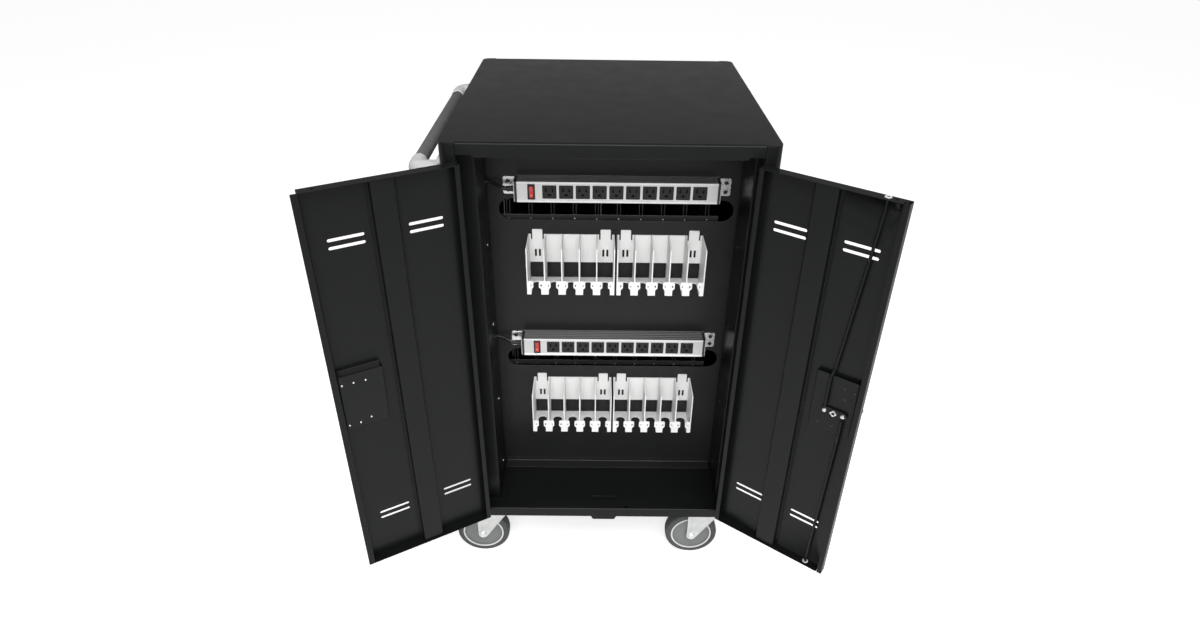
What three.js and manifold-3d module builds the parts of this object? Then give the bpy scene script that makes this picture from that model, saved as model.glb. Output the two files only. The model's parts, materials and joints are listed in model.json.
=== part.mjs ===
// Laptop charging cart: a sheet-steel cabinet on swivel casters, with power strips, adapter holders
// and cable slots behind the rear doors, and laptop bays behind the front doors.
// Millimetres, +Z up, floor at z = 0. The rear doors face -Y and stand open, the front doors are shut.
import * as THREE from 'three';
import { mergeVertices } from 'three/addons/utils/BufferGeometryUtils.js';
import Module from 'manifold-3d';

const wasm = await Module();
wasm.setup();

// Cabinet
const BODY_WIDTH = 600;
const BODY_DEPTH = 625;
const BODY_HEIGHT = 896;
const SHEET = 1.5;
const CORNER_RADIUS = 20;
const POST_WIDTH = 30;
const JAMB_DEPTH = 28;
const HEADER_HEIGHT = 27;
const HEADER_LIP = 24;
const HEADER_NOTCH_LENGTH = 28;
const HEADER_NOTCH_HEIGHT = 5;
const SILL_HEIGHT = 24;
const SILL_TAB_LENGTH = 60;
const SILL_TAB_HEIGHT = 9;
const SILL_TAB_CHAMFER = 5;
const FLOOR_CATCH_LENGTH = 60;
const FLOOR_CATCH_DEPTH = 15;
const FLOOR_CATCH_HEIGHT = 9;
const FLOOR_CATCH_Y = 34;
const SEAT_GAP = 0.3;
const ARC_STEPS = 3;

// Doors
const DOOR_DEPTH = 20;
const DOOR_SIDE_GAP = 1.5;
const DOOR_END_GAP = 2;
const DOOR_LIP = 10;
const DOOR_LAP = 11.25;
const DOOR_LAP_CORNER = 4;
const LOCKED_DOOR_SETBACK = 10.25;
const REAR_LEFT_OPEN_DEG = 150;
const REAR_RIGHT_OPEN_DEG = 143;
const HINGE_STANDOFF = 6.5;
const HINGE_BARREL_RADIUS = 5.5;
const HINGE_BARREL_SIDES = 8;
const HINGE_KNUCKLE = 30;
const HINGE_LEAF_LENGTH = 19;
const HINGE_LEAF_THICKNESS = 3.5;
const HINGE_LEAF_BITE = 0.7;
const HINGE_END_MARGIN = 70;
const HINGE_END_PLAY = 0.25;
const VENT_LENGTH = 62;
const VENT_HEIGHT = 6;
const VENT_PITCH = 14.7;
const VENT_SIDE_MARGIN = 33;
const VENT_LOW_MARGIN = 109;
const VENT_HIGH_MARGIN = 104.5;
const STIFFENER_WIDTH = 52;
const STIFFENER_CROWN = 42;
const STIFFENER_DEPTH = 14;
const LOCKED_STIFFENER_SHIFT = 7;
const STIFFENER_END_GAP = 1;
const FLANGE_HOLE_RADIUS = 3;
const FLANGE_HOLE_MARGIN = 24;

// Lock
const SPINDLE_RADIUS = 4;
const SPINDLE_CLEARANCE = 0.6;
const SPINDLE_EDGE_MARGIN = 48.5;
const SPINDLE_RISE = 405;
const LOCK_BOX_WIDTH = 82;
const LOCK_BOX_HEIGHT = 130;
const LOCK_BOX_DROP = 50;
const LOCK_BOX_TOP_DEPTH = 8;
const LOCK_BOX_FOOT_DEPTH = 3;
const LOCK_BOX_EDGE_MARGIN = 13;
const STRIKE_TOP_DEPTH = 17;
const STRIKE_FOOT_DEPTH = 4;
const STRIKE_EDGE_MARGIN = 2.5;
const CAM_STANDOFF = 6.3;
const CAM_ARM = 18;
const CAM_WIDTH = 16;
const CAM_THICKNESS = 3;
const CAM_PIN_RADIUS = 4.5;
const CAM_PIN_HEIGHT = 4;
const CAM_NUT_RADIUS = 7;
const ROD_RADIUS = 3;
const ROD_CLEARANCE = 1.5;
const ROD_PIN_GAP = 9.5;
const UPPER_ROD_EDGE_MARGIN = 38.5;
const LOWER_ROD_EDGE_MARGIN = 40.5;
const ROSE_RADIUS = 20;
const ROSE_THICKNESS = 5;
const LEVER_LENGTH = 52;
const LEVER_WIDTH = 18;
const LEVER_THICKNESS = 10;
const LEVER_STANDOFF = 18;
const LEVER_NECK_RADIUS = 8;
const JOIN_BITE = 1;

// Rear compartment
const PARTITION_Y = 162;
const PARTITION_FOOT = 25;
const DUCT_WIDTH = 58;
const DUCT_FRONT_Y = 36;
const RAIL_WIDTH = 38;
const RAIL_FRONT_Y = 40;
const LINER_REAR_GAP = 15;
const LEVEL_HEADROOM = 142;
const CABLE_SLOT_HEIGHT = 46;
const CABLE_SLOT_LEFT_MARGIN = 20.5;
const CABLE_SLOT_RIGHT_MARGIN = 6.5;
const CABLE_SLOT_DROP = 52;

// Power strips
const STRIP_LEFT_MARGIN = 57.5;
const STRIP_RIGHT_MARGIN = 43.5;
const STRIP_OVER_SHELF = 2;
const STRIP_HEIGHT = 43;
const STRIP_DEPTH = 36;
const STRIP_WALL = 1.8;
const STRIP_LIP = 1.2;
const STRIP_LIP_HEIGHT = 4;
const OUTLET_PITCH = 32.8;
const OUTLET_SIZE = 28;
const OUTLET_FIRST = 68.5;
const OUTLET_END_MARGIN = 36;
const OUTLET_PROUD = 0.8;
const OUTLET_CLEARANCE = 0.3;
const OUTLET_BANK_DEPTH = 14;
const BLADE_SPACING = 12.7;
const BLADE_HEIGHT = 8;
const NARROW_BLADE_HEIGHT = 7;
const BLADE_WIDTH = 2.4;
const BLADE_RISE = 1;
const EARTH_RADIUS = 2.5;
const EARTH_DROP = 6;
const SOCKET_DEPTH = 9;
const SWITCH_X = 33;
const SWITCH_WIDTH = 15;
const SWITCH_HEIGHT = 32;
const SWITCH_FRAME = 2;
const ROCKER_SIDE_CLEARANCE = 0.6;
const ROCKER_END_CLEARANCE = 1.1;
const ROCKER_DEPTH = 6;
const ROCKER_CROWN = 2.2;
const ROCKER_TAPER = 1;
const ROCKER_TILT_DEG = 7;
const EAR_LENGTH = 26;
const EAR_HEIGHT = 37;
const EAR_HOLE_RADIUS = 2.6;
const EAR_HOLE_SPACING = 19;
const EAR_HOLE_MARGIN = 10;
const LEAD_RADIUS = 3.5;
const LEAD_SIDES = 8;
const LEAD_Y = 143;

// Adapter holders
const HOLDER_BAY = 35.36;
const HOLDER_GAP = 4.5;
const HOLDER_DEPTH = 73;
const HOLDER_HEIGHT = 101;
const HOLDER_WALL = 2.2;
const HOLDER_DROP = 156;
const HOLDER_WINDOW = 37;
const HOLDER_TAB_WIDTH = 21;
const HOLDER_TAB_HEIGHT = 11;
const HOLDER_SLIT_WIDTH = 3;
const HOLDER_SLIT_DEPTH = 12;
const HOLDER_PAIR_SPACING = 8.4;
const HOLDER_PAIR_WIDTH = 4.6;
const HOLDER_PAIR_HEIGHT = 17;
const HOLDER_PAIR_RISE = 50;
const NOTCH_WIDTH = 20;
const NOTCH_DEPTH = 54;
const LUG_WIDTH = 24;
const LUG_NECK = 15;
const LUG_HEIGHT = 28.6;
const LUG_NECK_HEIGHT = 10;

// Laptop bays
const SHELF_FRONT_GAP = 45;
const SHELF_FLANGE = 20;
const DIVIDERS = 10;
const DIVIDER_PITCH = 45.5;
const DIVIDER_WIDTH = 7.5;
const DIVIDER_HEADROOM = 35;
const DIVIDER_WALL = 1.2;
const RACK_REAR_GAP = 14.5;
const RACK_FRONT_GAP = 65;
const RACK_SIDE_MARGIN = 20;
const RACK_RAIL_DROP = 45;
const RACK_RAIL_HEIGHT = 12;

// Push handle
const HANDLE_DROP = 67;
const HANDLE_REACH = 54;
const GRIP_RADIUS = 13;
const GRIP_END_MARGIN = 94.5;
const BRACKET_RADIUS = 17;
const BRACKET_LENGTH = 46;
const BRACKET_FOOT_WIDTH = 56;
const BRACKET_FOOT_HEIGHT = 60;
const BRACKET_FOOT_THICKNESS = 8;
const BRACKET_STEPS = 6;
const BRACKET_ARC_STEPS = 7;

// Casters
const WHEEL_RADIUS = 62.5;
const WHEEL_WIDTH = 32;
const WHEEL_STEPS = 24;
const RIM_RADIUS = 46;
const WEB_RADIUS = 43;
const WEB_INSET = 5;
const HUB_RADIUS = 14;
const TREAD_SHOULDER = 6;
const TREAD_CROWN = 5;
const CASTER_HEADROOM = 31;
const CASTER_SIDE_INSET = 47;
const CASTER_END_INSET = 50;
const CASTER_TRAIL = 38;
const FORK_SHEET = 3;
const FORK_WHEEL_GAP = 3;
const FORK_CROWN = 4;
const FORK_FRONT = 26;
const FORK_AXLE_MARGIN = 11;
const AXLE_RADIUS = 5;
const AXLE_CLEARANCE = 0.4;
const AXLE_NUT_RADIUS = 9;
const AXLE_NUT_THICKNESS = 5;
const HUB_SIDE_CLEARANCE = 1;
const CASTER_PLATE_LENGTH = 92;
const CASTER_PLATE_WIDTH = 85;
const CASTER_PLATE_THICKNESS = 4;
const RACEWAY_RADIUS = 30;
const RACEWAY_HEIGHT = 6;
const CASTER_RAIL_WIDTH = 98;
const CASTER_RAIL_SHEET = 2;

// Power inlet
const INLET_Y = 104;
const INLET_RISE = 45;
const INLET_WIDTH = 40;
const INLET_HEIGHT = 50;
const INLET_DEPTH = 46;
const INLET_RIM = 5;
const INLET_RIM_THICKNESS = 2;
const INLET_SOCKET_WIDTH = 24;
const INLET_SOCKET_HEIGHT = 17;
const INLET_SOCKET_DEPTH = 15;

// Places that follow from the sizes above
const HALF_WIDTH = BODY_WIDTH / 2;
const CASTER_HEIGHT = 2 * WHEEL_RADIUS + CASTER_HEADROOM;
const TOP_Z = CASTER_HEIGHT + BODY_HEIGHT;
const FLOOR_Z = CASTER_HEIGHT + SILL_HEIGHT;
const HEADER_Z = TOP_Z - HEADER_HEIGHT;
const UNDER_TOP_Z = TOP_Z - SHEET - SEAT_GAP;
const OPENING_HALF = HALF_WIDTH - POST_WIDTH;
const INSIDE_HALF = HALF_WIDTH - SHEET - SEAT_GAP;
const HINGE_X = OPENING_HALF - DOOR_SIDE_GAP / 2;
const DOOR_START = DOOR_SIDE_GAP / 2;
const DOOR_END = HINGE_X - DOOR_SIDE_GAP;
const LOCKED_DOOR_END = DOOR_END - LOCKED_DOOR_SETBACK;
const DOOR_LOW_Z = FLOOR_Z + DOOR_END_GAP;
const DOOR_HIGH_Z = HEADER_Z - DOOR_END_GAP;
const HINGE_LEVELS = [
  DOOR_LOW_Z + HINGE_END_MARGIN, (DOOR_LOW_Z + DOOR_HIGH_Z) / 2, DOOR_HIGH_Z - HINGE_END_MARGIN];

// Depths through a door, measured inwards from its hinge line
const FACE_Y = HINGE_STANDOFF;
const INNER_FACE_Y = FACE_Y + SHEET + SEAT_GAP;
const CAM_Y = INNER_FACE_Y + CAM_STANDOFF;
const ROD_Y = CAM_Y + CAM_THICKNESS + SEAT_GAP + ROD_RADIUS;
const SPINDLE_X = LOCKED_DOOR_END - SPINDLE_EDGE_MARGIN;
const SPINDLE_Z = DOOR_LOW_Z + SPINDLE_RISE;
const UPPER_ROD_X = LOCKED_DOOR_END - UPPER_ROD_EDGE_MARGIN;
const LOWER_ROD_X = LOCKED_DOOR_END - LOWER_ROD_EDGE_MARGIN;

// Levels of the cabinet and what hangs on the partition at each
const LEVEL_PITCH = (TOP_Z - FLOOR_Z - LEVEL_HEADROOM) / 2;
const LEVELS = [{ name: 'lower', z: FLOOR_Z }, { name: 'upper', z: FLOOR_Z + LEVEL_PITCH }];
const STRIP_RISE = LEVEL_PITCH + STRIP_OVER_SHELF;
const CABLE_SLOT_RISE = STRIP_RISE - CABLE_SLOT_DROP;
const HOLDER_RISE = CABLE_SLOT_RISE - HOLDER_DROP;
const DIVIDER_HEIGHT = LEVEL_PITCH - DIVIDER_HEADROOM;
const DUCT_X = HALF_WIDTH - DUCT_WIDTH;
const RAIL_X = HALF_WIDTH - RAIL_WIDTH;
const LINER_REAR_Y = PARTITION_Y - LINER_REAR_GAP;
const STRIP_START_X = -DUCT_X + STRIP_LEFT_MARGIN;
const STRIP_END_X = RAIL_X - STRIP_RIGHT_MARGIN;
const STRIP_LENGTH = STRIP_END_X - STRIP_START_X;
const STRIP_MIDDLE_X = (STRIP_START_X + STRIP_END_X) / 2;
const STRIP_REAR_Y = PARTITION_Y - SEAT_GAP;
const STRIP_FRONT_Y = STRIP_REAR_Y - STRIP_DEPTH;
const OUTLETS = 1 + Math.floor((STRIP_LENGTH - OUTLET_FIRST - OUTLET_END_MARGIN) / OUTLET_PITCH);
const OUTLET_CENTRES = Array.from({ length: OUTLETS },
  (_, i) => STRIP_START_X + OUTLET_FIRST + i * OUTLET_PITCH);
const SWITCH_CENTRE = STRIP_START_X + SWITCH_X;
const HOLDER_BAYS = Math.floor((STRIP_LENGTH - HOLDER_GAP - 2 * HOLDER_WALL) / (2 * HOLDER_BAY));
const HOLDER_WIDTH = HOLDER_BAYS * HOLDER_BAY + HOLDER_WALL;
const RACK_REAR_Y = PARTITION_Y + SHEET + RACK_REAR_GAP;
const RACK_DEPTH = BODY_DEPTH - RACK_FRONT_GAP - RACK_REAR_Y;
const INLET_Z = FLOOR_Z + INLET_RISE + INLET_HEIGHT / 2;
const LEAD_END_Z = INLET_Z + INLET_HEIGHT / 2 + SEAT_GAP;
const CASTER_X = HALF_WIDTH - CASTER_SIDE_INSET;
const PLATE_TOP_Z = CASTER_HEIGHT - SEAT_GAP;
const PLATE_LOW_Z = PLATE_TOP_Z - CASTER_PLATE_THICKNESS;
const FORK_TOP_Z = PLATE_LOW_Z - RACEWAY_HEIGHT - SEAT_GAP;

// Route of each lead inside the duct, from the duct's back edge down to the inlet
const LEAD_DROPS = {
  upper: [[-248, 153, 922], [-264, 146, 912], [-274, 134, 888], [-278, 124, 850], [-279, 118, 760],
    [-279, 115, 640], [-279, 112, 520], [-279, 110, 400], [-279, 110, 320], [-279, 110, LEAD_END_Z]],
  lower: [[-248, 153, 556], [-261, 147, 548], [-266, 134, 528], [-265, 120, 498], [-264, 106, 450],
    [-263, 98, 390], [-263, 96, 330], [-263, 96, LEAD_END_Z]],
};
const LEAD_STEPS = { upper: 38, lower: 20 };

// Finishes
const finish = (color, roughness, metalness) =>
  new THREE.MeshStandardMaterial({ color, roughness, metalness });
const POWDER_COAT = finish(0x202022, 0.55, 0.2);
const ALUMINIUM = finish(0xc2c2c6, 0.35, 0.9);
const BLACK_PLASTIC = finish(0x151515, 0.5, 0);
const WHITE_PLASTIC = finish(0xdededc, 0.5, 0);
const GREY_PLASTIC = finish(0xb4b5b4, 0.5, 0);
const RED_PLASTIC = finish(0xc8201c, 0.3, 0);
const ZINC = finish(0xb9bdb8, 0.4, 0.9);
const TYRE_RUBBER = finish(0x55585a, 0.7, 0);
const GRIP_RUBBER = finish(0x3a3a3c, 0.8, 0);

// Solids and outlines

function toSolid(geometry) {
  const bare = geometry.clone();
  bare.deleteAttribute('normal');
  bare.deleteAttribute('uv');
  const merged = mergeVertices(bare, 1e-4);
  return new wasm.Manifold(new wasm.Mesh({
    numProp: 3,
    vertProperties: new Float32Array(merged.attributes.position.array),
    triVerts: new Uint32Array(merged.index.array),
  }));
}

function toGeometry(solid) {
  const mesh = solid.getMesh();
  const geometry = new THREE.BufferGeometry();
  geometry.setAttribute('position', new THREE.BufferAttribute(new Float32Array(mesh.vertProperties), 3));
  geometry.setIndex(new THREE.BufferAttribute(new Uint32Array(mesh.triVerts), 1));
  geometry.computeVertexNormals();
  return geometry;
}

const join = (pieces) => toGeometry(pieces.map(toSolid).reduce((whole, piece) => whole.add(piece)));
const cut = (body, tools) =>
  toGeometry(tools.map(toSolid).reduce((whole, tool) => whole.subtract(tool), toSolid(body)));

// A box between two corners; each axis gives its two ends in either order
function box(...axes) {
  const size = axes.map(([a, b]) => Math.abs(b - a));
  const middle = axes.map(([a, b]) => (a + b) / 2);
  return new THREE.BoxGeometry(...size).translate(...middle);
}

const around = (middle, half) => [middle - half, middle + half];
const outline = (points) => new THREE.Shape(points.map(([a, b]) => new THREE.Vector2(a, b)));

const extrude = (shape, depth) =>
  new THREE.ExtrudeGeometry(shape, { depth, bevelEnabled: false, curveSegments: ARC_STEPS });

// A plan outline (x, y) raised from z by a height
const raisePlan = (shape, z, height) => extrude(shape, height).translate(0, 0, z);

// An elevation outline (x, z) given a thickness from y inwards
const thickenElevation = (shape, y, thickness) =>
  extrude(shape, thickness).rotateX(Math.PI / 2).translate(0, y + thickness, 0);

// A side profile (y, z) run along x between two ends
function runProfile(shape, [from, to]) {
  const turn = new THREE.Matrix4().makeBasis(
    new THREE.Vector3(0, 1, 0), new THREE.Vector3(0, 0, 1), new THREE.Vector3(1, 0, 0));
  return extrude(shape, Math.abs(to - from)).applyMatrix4(turn).translate(Math.min(from, to), 0, 0);
}

function stadium(x, z, length, height) {
  const radius = height / 2;
  const reach = length / 2 - radius;
  const shape = new THREE.Shape();
  shape.absarc(x + reach, z, radius, -Math.PI / 2, Math.PI / 2, false);
  shape.absarc(x - reach, z, radius, Math.PI / 2, 1.5 * Math.PI, false);
  return shape;
}

const rodAlongY = (radius, x, z, [y0, y1], sides) =>
  new THREE.CylinderGeometry(radius, radius, Math.abs(y1 - y0), sides).translate(x, (y0 + y1) / 2, z);

const rodAlongZ = (radius, x, y, [z0, z1], sides) =>
  new THREE.CylinderGeometry(radius, radius, Math.abs(z1 - z0), sides)
    .rotateX(Math.PI / 2).translate(x, y, (z0 + z1) / 2);

const cart = new THREE.Group();

function place(group, name, geometry, material) {
  const mesh = new THREE.Mesh(geometry, material);
  mesh.name = name;
  group.add(mesh);
}

// Cabinet shell

function topPlan() {
  const side = HALF_WIDTH - CORNER_RADIUS;
  const far = BODY_DEPTH - CORNER_RADIUS;
  const shape = new THREE.Shape();
  shape.absarc(side, CORNER_RADIUS, CORNER_RADIUS, -Math.PI / 2, 0, false);
  shape.absarc(side, far, CORNER_RADIUS, 0, Math.PI / 2, false);
  shape.absarc(-side, far, CORNER_RADIUS, Math.PI / 2, Math.PI, false);
  shape.absarc(-side, CORNER_RADIUS, CORNER_RADIUS, Math.PI, 1.5 * Math.PI, false);
  return shape;
}

// Header over a door opening: a face from y inwards, notched at its ends, and a lip along its foot
function header(y, inward) {
  const half = OPENING_HALF - SEAT_GAP;
  const foot = half - HEADER_NOTCH_LENGTH;
  const step = HEADER_Z + HEADER_NOTCH_HEIGHT;
  const top = TOP_Z - SHEET / 2;
  const face = outline([[-half, top], [-half, step], [-foot, step], [-foot, HEADER_Z], [foot, HEADER_Z],
    [foot, step], [half, step], [half, top]]);
  return [
    thickenElevation(face, Math.min(y, y + inward * SHEET), SHEET),
    box([-foot, foot], [y, y + inward * HEADER_LIP], [HEADER_Z, HEADER_Z + SHEET]),
  ];
}

function topPanel() {
  const sheet = raisePlan(topPlan(), TOP_Z - SHEET, SHEET);
  const panel = join([sheet, ...header(0, 1), ...header(BODY_DEPTH, -1)]);
  return cut(panel, [rodHole(UPPER_ROD_X, HEADER_Z)]);
}

// Hole for a lock rod in the header or the floor, over the place where the rod is with its door shut
const rodHole = (rodX, z) => rodAlongZ(ROD_RADIUS + ROD_CLEARANCE, HINGE_X - rodX, ROD_Y - HINGE_STANDOFF,
  [z - 2 * SHEET, z + 2 * SHEET], 12);

// Plan of a side panel: outer skin, two rounded corner posts and their jambs
function sidePlan(side) {
  const centre = side * (HALF_WIDTH - CORNER_RADIUS);
  const far = BODY_DEPTH - CORNER_RADIUS;
  const inner = CORNER_RADIUS - SHEET;
  const jambFace = side * OPENING_HALF;
  const jambBack = side * (OPENING_HALF + SHEET);
  const out = side > 0 ? 0 : Math.PI;
  const quarter = side * Math.PI / 2;
  const shape = new THREE.Shape();
  shape.moveTo(jambFace, JAMB_DEPTH);
  shape.lineTo(jambFace, 0);
  shape.absarc(centre, CORNER_RADIUS, CORNER_RADIUS, out - quarter, out, side < 0);
  shape.absarc(centre, far, CORNER_RADIUS, out, out + quarter, side < 0);
  shape.lineTo(jambFace, BODY_DEPTH);
  shape.lineTo(jambFace, BODY_DEPTH - JAMB_DEPTH);
  shape.lineTo(jambBack, BODY_DEPTH - JAMB_DEPTH);
  shape.lineTo(jambBack, BODY_DEPTH - SHEET);
  shape.absarc(centre, far, inner, out + quarter, out, side > 0);
  shape.absarc(centre, CORNER_RADIUS, inner, out, out - quarter, side > 0);
  shape.lineTo(jambBack, SHEET);
  shape.lineTo(jambBack, JAMB_DEPTH);
  return shape;
}

// One hinge knuckle with its leaf, which lies on the face at y = 0 and runs to x = leafEnd
function knuckle(x, z, leafEnd) {
  const height = [z, z + HINGE_KNUCKLE];
  return [
    rodAlongZ(HINGE_BARREL_RADIUS, x, -HINGE_STANDOFF, height, HINGE_BARREL_SIDES),
    box([x, leafEnd], [-HINGE_LEAF_THICKNESS, HINGE_LEAF_BITE], height),
  ];
}

function sidePanel(side) {
  const skin = raisePlan(sidePlan(side), CASTER_HEIGHT, UNDER_TOP_Z - CASTER_HEIGHT);
  const toFront = (piece) => piece.rotateZ(Math.PI).translate(0, BODY_DEPTH, 0);
  const knuckles = HINGE_LEVELS.flatMap((level) => {
    const z = level - HINGE_KNUCKLE - HINGE_END_PLAY;
    const rear = knuckle(side * HINGE_X, z, side * (HINGE_X + HINGE_LEAF_LENGTH));
    const front = knuckle(-side * HINGE_X, z, -side * (HINGE_X + HINGE_LEAF_LENGTH)).map(toFront);
    return [...rear, ...front];
  });
  const panel = join([skin, ...knuckles]);
  return side < 0 ? cut(panel, [inletOpening()]) : panel;
}

function floorPlan() {
  const narrow = OPENING_HALF - SEAT_GAP;
  const near = JAMB_DEPTH + SEAT_GAP;
  const far = BODY_DEPTH - near;
  return outline([[-narrow, 0], [narrow, 0], [narrow, near], [INSIDE_HALF, near], [INSIDE_HALF, far],
    [narrow, far], [narrow, BODY_DEPTH], [-narrow, BODY_DEPTH], [-narrow, far], [-INSIDE_HALF, far],
    [-INSIDE_HALF, near], [-narrow, near]]);
}

// Sill under a door opening, with a tab below its middle
function sillFace() {
  const half = OPENING_HALF - SEAT_GAP;
  const tab = SILL_TAB_LENGTH / 2;
  const tabFoot = tab - SILL_TAB_CHAMFER;
  const tabZ = CASTER_HEIGHT - SILL_TAB_HEIGHT;
  return outline([[-half, FLOOR_Z], [-half, CASTER_HEIGHT], [-tab, CASTER_HEIGHT], [-tabFoot, tabZ],
    [tabFoot, tabZ], [tab, CASTER_HEIGHT], [half, CASTER_HEIGHT], [half, FLOOR_Z]]);
}

function basePanel() {
  const skirtY = [JAMB_DEPTH + SEAT_GAP, BODY_DEPTH - JAMB_DEPTH - SEAT_GAP];
  const skirtZ = [CASTER_HEIGHT, FLOOR_Z];
  const catchX = around(0, FLOOR_CATCH_LENGTH / 2);
  const catchFoot = [FLOOR_CATCH_Y, FLOOR_CATCH_Y + FLOOR_CATCH_DEPTH];
  const pan = join([
    raisePlan(floorPlan(), FLOOR_Z - SHEET, SHEET),
    thickenElevation(sillFace(), 0, SHEET),
    thickenElevation(sillFace(), BODY_DEPTH - SHEET, SHEET),
    box([-INSIDE_HALF, -INSIDE_HALF + SHEET], skirtY, skirtZ),
    box([INSIDE_HALF - SHEET, INSIDE_HALF], skirtY, skirtZ),
    box(catchX, catchFoot, [FLOOR_Z - SHEET / 2, FLOOR_Z + SHEET]),
    box(catchX, [FLOOR_CATCH_Y, FLOOR_CATCH_Y + SHEET], [FLOOR_Z, FLOOR_Z + FLOOR_CATCH_HEIGHT]),
  ]);
  return cut(pan, [rodHole(LOWER_ROD_X, FLOOR_Z)]);
}

// Channel under the floor that a pair of casters is bolted to
function casterRail(side) {
  const outer = INSIDE_HALF - SHEET - SEAT_GAP;
  const inner = outer - CASTER_RAIL_WIDTH;
  const y = [JAMB_DEPTH + SHEET, BODY_DEPTH - JAMB_DEPTH - SHEET];
  const z = [CASTER_HEIGHT, FLOOR_Z - SHEET - SEAT_GAP];
  return join([
    box([side * inner, side * outer], y, [z[0], z[0] + CASTER_RAIL_SHEET]),
    box([side * inner, side * (inner + CASTER_RAIL_SHEET)], y, z),
    box([side * (outer - CASTER_RAIL_SHEET), side * outer], y, z),
  ]);
}

function middlePartition() {
  const low = FLOOR_Z + SEAT_GAP;
  const back = PARTITION_Y + SHEET;
  const sheet = box(around(0, INSIDE_HALF), [PARTITION_Y, back], [low, UNDER_TOP_Z]);
  const footY = [PARTITION_Y - PARTITION_FOOT, back];
  const foot = box([-DUCT_X + SHEET, RAIL_X - SHEET], footY, [low, low + SHEET]);
  const slotX = [-DUCT_X + CABLE_SLOT_LEFT_MARGIN, RAIL_X - CABLE_SLOT_RIGHT_MARGIN];
  const slots = LEVELS.map((level) => thickenElevation(
    stadium((slotX[0] + slotX[1]) / 2, level.z + CABLE_SLOT_RISE, slotX[1] - slotX[0], CABLE_SLOT_HEIGHT),
    PARTITION_Y - SHEET, 3 * SHEET));
  return cut(join([sheet, foot]), slots);
}

// Folded liner beside the rear opening: one face towards the door and one along the side
function liner(side, x, frontY) {
  const wall = INSIDE_HALF - SEAT_GAP;
  const plan = outline([[side * wall, frontY], [side * x, frontY], [side * x, LINER_REAR_Y],
    [side * (x + SHEET), LINER_REAR_Y], [side * (x + SHEET), frontY + SHEET],
    [side * wall, frontY + SHEET]]);
  const low = FLOOR_Z + SEAT_GAP;
  return raisePlan(plan, low, UNDER_TOP_Z - low);
}

function upperShelf() {
  const z = LEVELS[1].z;
  const front = BODY_DEPTH - SHELF_FRONT_GAP;
  const x = around(0, INSIDE_HALF - SEAT_GAP);
  return join([
    box(x, [PARTITION_Y + SHEET + SEAT_GAP, front], [z - SHEET, z]),
    box(x, [front - SHEET, front], [z - SHELF_FLANGE, z]),
  ]);
}

// Row of folded dividers on a tray, tied together by a rail at the back
function dividerRack(level) {
  const z = level.z + SEAT_GAP;
  const top = z + DIVIDER_HEIGHT;
  const reach = (DIVIDERS - 1) * DIVIDER_PITCH / 2;
  const x = around(0, reach + DIVIDER_WIDTH / 2 + RACK_SIDE_MARGIN);
  const rail = top - RACK_RAIL_DROP;
  const pieces = [
    box(x, [RACK_REAR_Y, RACK_REAR_Y + RACK_DEPTH], [z, z + SHEET]),
    box(x, [RACK_REAR_Y - SHEET, RACK_REAR_Y], [rail, rail + RACK_RAIL_HEIGHT]),
  ];
  for (let i = 0; i < DIVIDERS; i += 1) {
    const [left, right] = around(i * DIVIDER_PITCH - reach, DIVIDER_WIDTH / 2);
    const [inLeft, inRight] = [left + DIVIDER_WALL, right - DIVIDER_WALL];
    const fold = outline([[left, z], [inLeft, z],
      [inLeft, top - DIVIDER_WALL], [inRight, top - DIVIDER_WALL],
      [inRight, z], [right, z], [right, top], [left, top]]);
    pieces.push(thickenElevation(fold, RACK_REAR_Y, RACK_DEPTH));
  }
  return join(pieces);
}

// Power strips

// Channel that is open towards the partition, with a window for each outlet and for the switch
function stripHousing(z) {
  const [low, high] = around(z, STRIP_HEIGHT / 2);
  const front = STRIP_FRONT_Y;
  const lip = front - STRIP_LIP;
  const face = front + STRIP_WALL;
  const [lowLip, highLip] = [low + STRIP_LIP_HEIGHT, high - STRIP_LIP_HEIGHT];
  const [lowWall, highWall] = [low + STRIP_WALL, high - STRIP_WALL];
  const profile = outline([[STRIP_REAR_Y, high], [lip, high], [lip, highLip], [front, highLip],
    [front, lowLip], [lip, lowLip], [lip, low], [STRIP_REAR_Y, low],
    [STRIP_REAR_Y, lowWall], [face, lowWall], [face, highWall],
    [STRIP_REAR_Y, highWall]]);
  const through = [front - STRIP_WALL, face + STRIP_WALL];
  const windows = OUTLET_CENTRES.map((x) =>
    box(around(x, OUTLET_SIZE / 2), through, around(z, OUTLET_SIZE / 2)));
  windows.push(box(around(SWITCH_CENTRE, SWITCH_WIDTH / 2), through, around(z, SWITCH_HEIGHT / 2)));
  return cut(runProfile(profile, [STRIP_START_X, STRIP_END_X]), windows);
}

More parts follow.
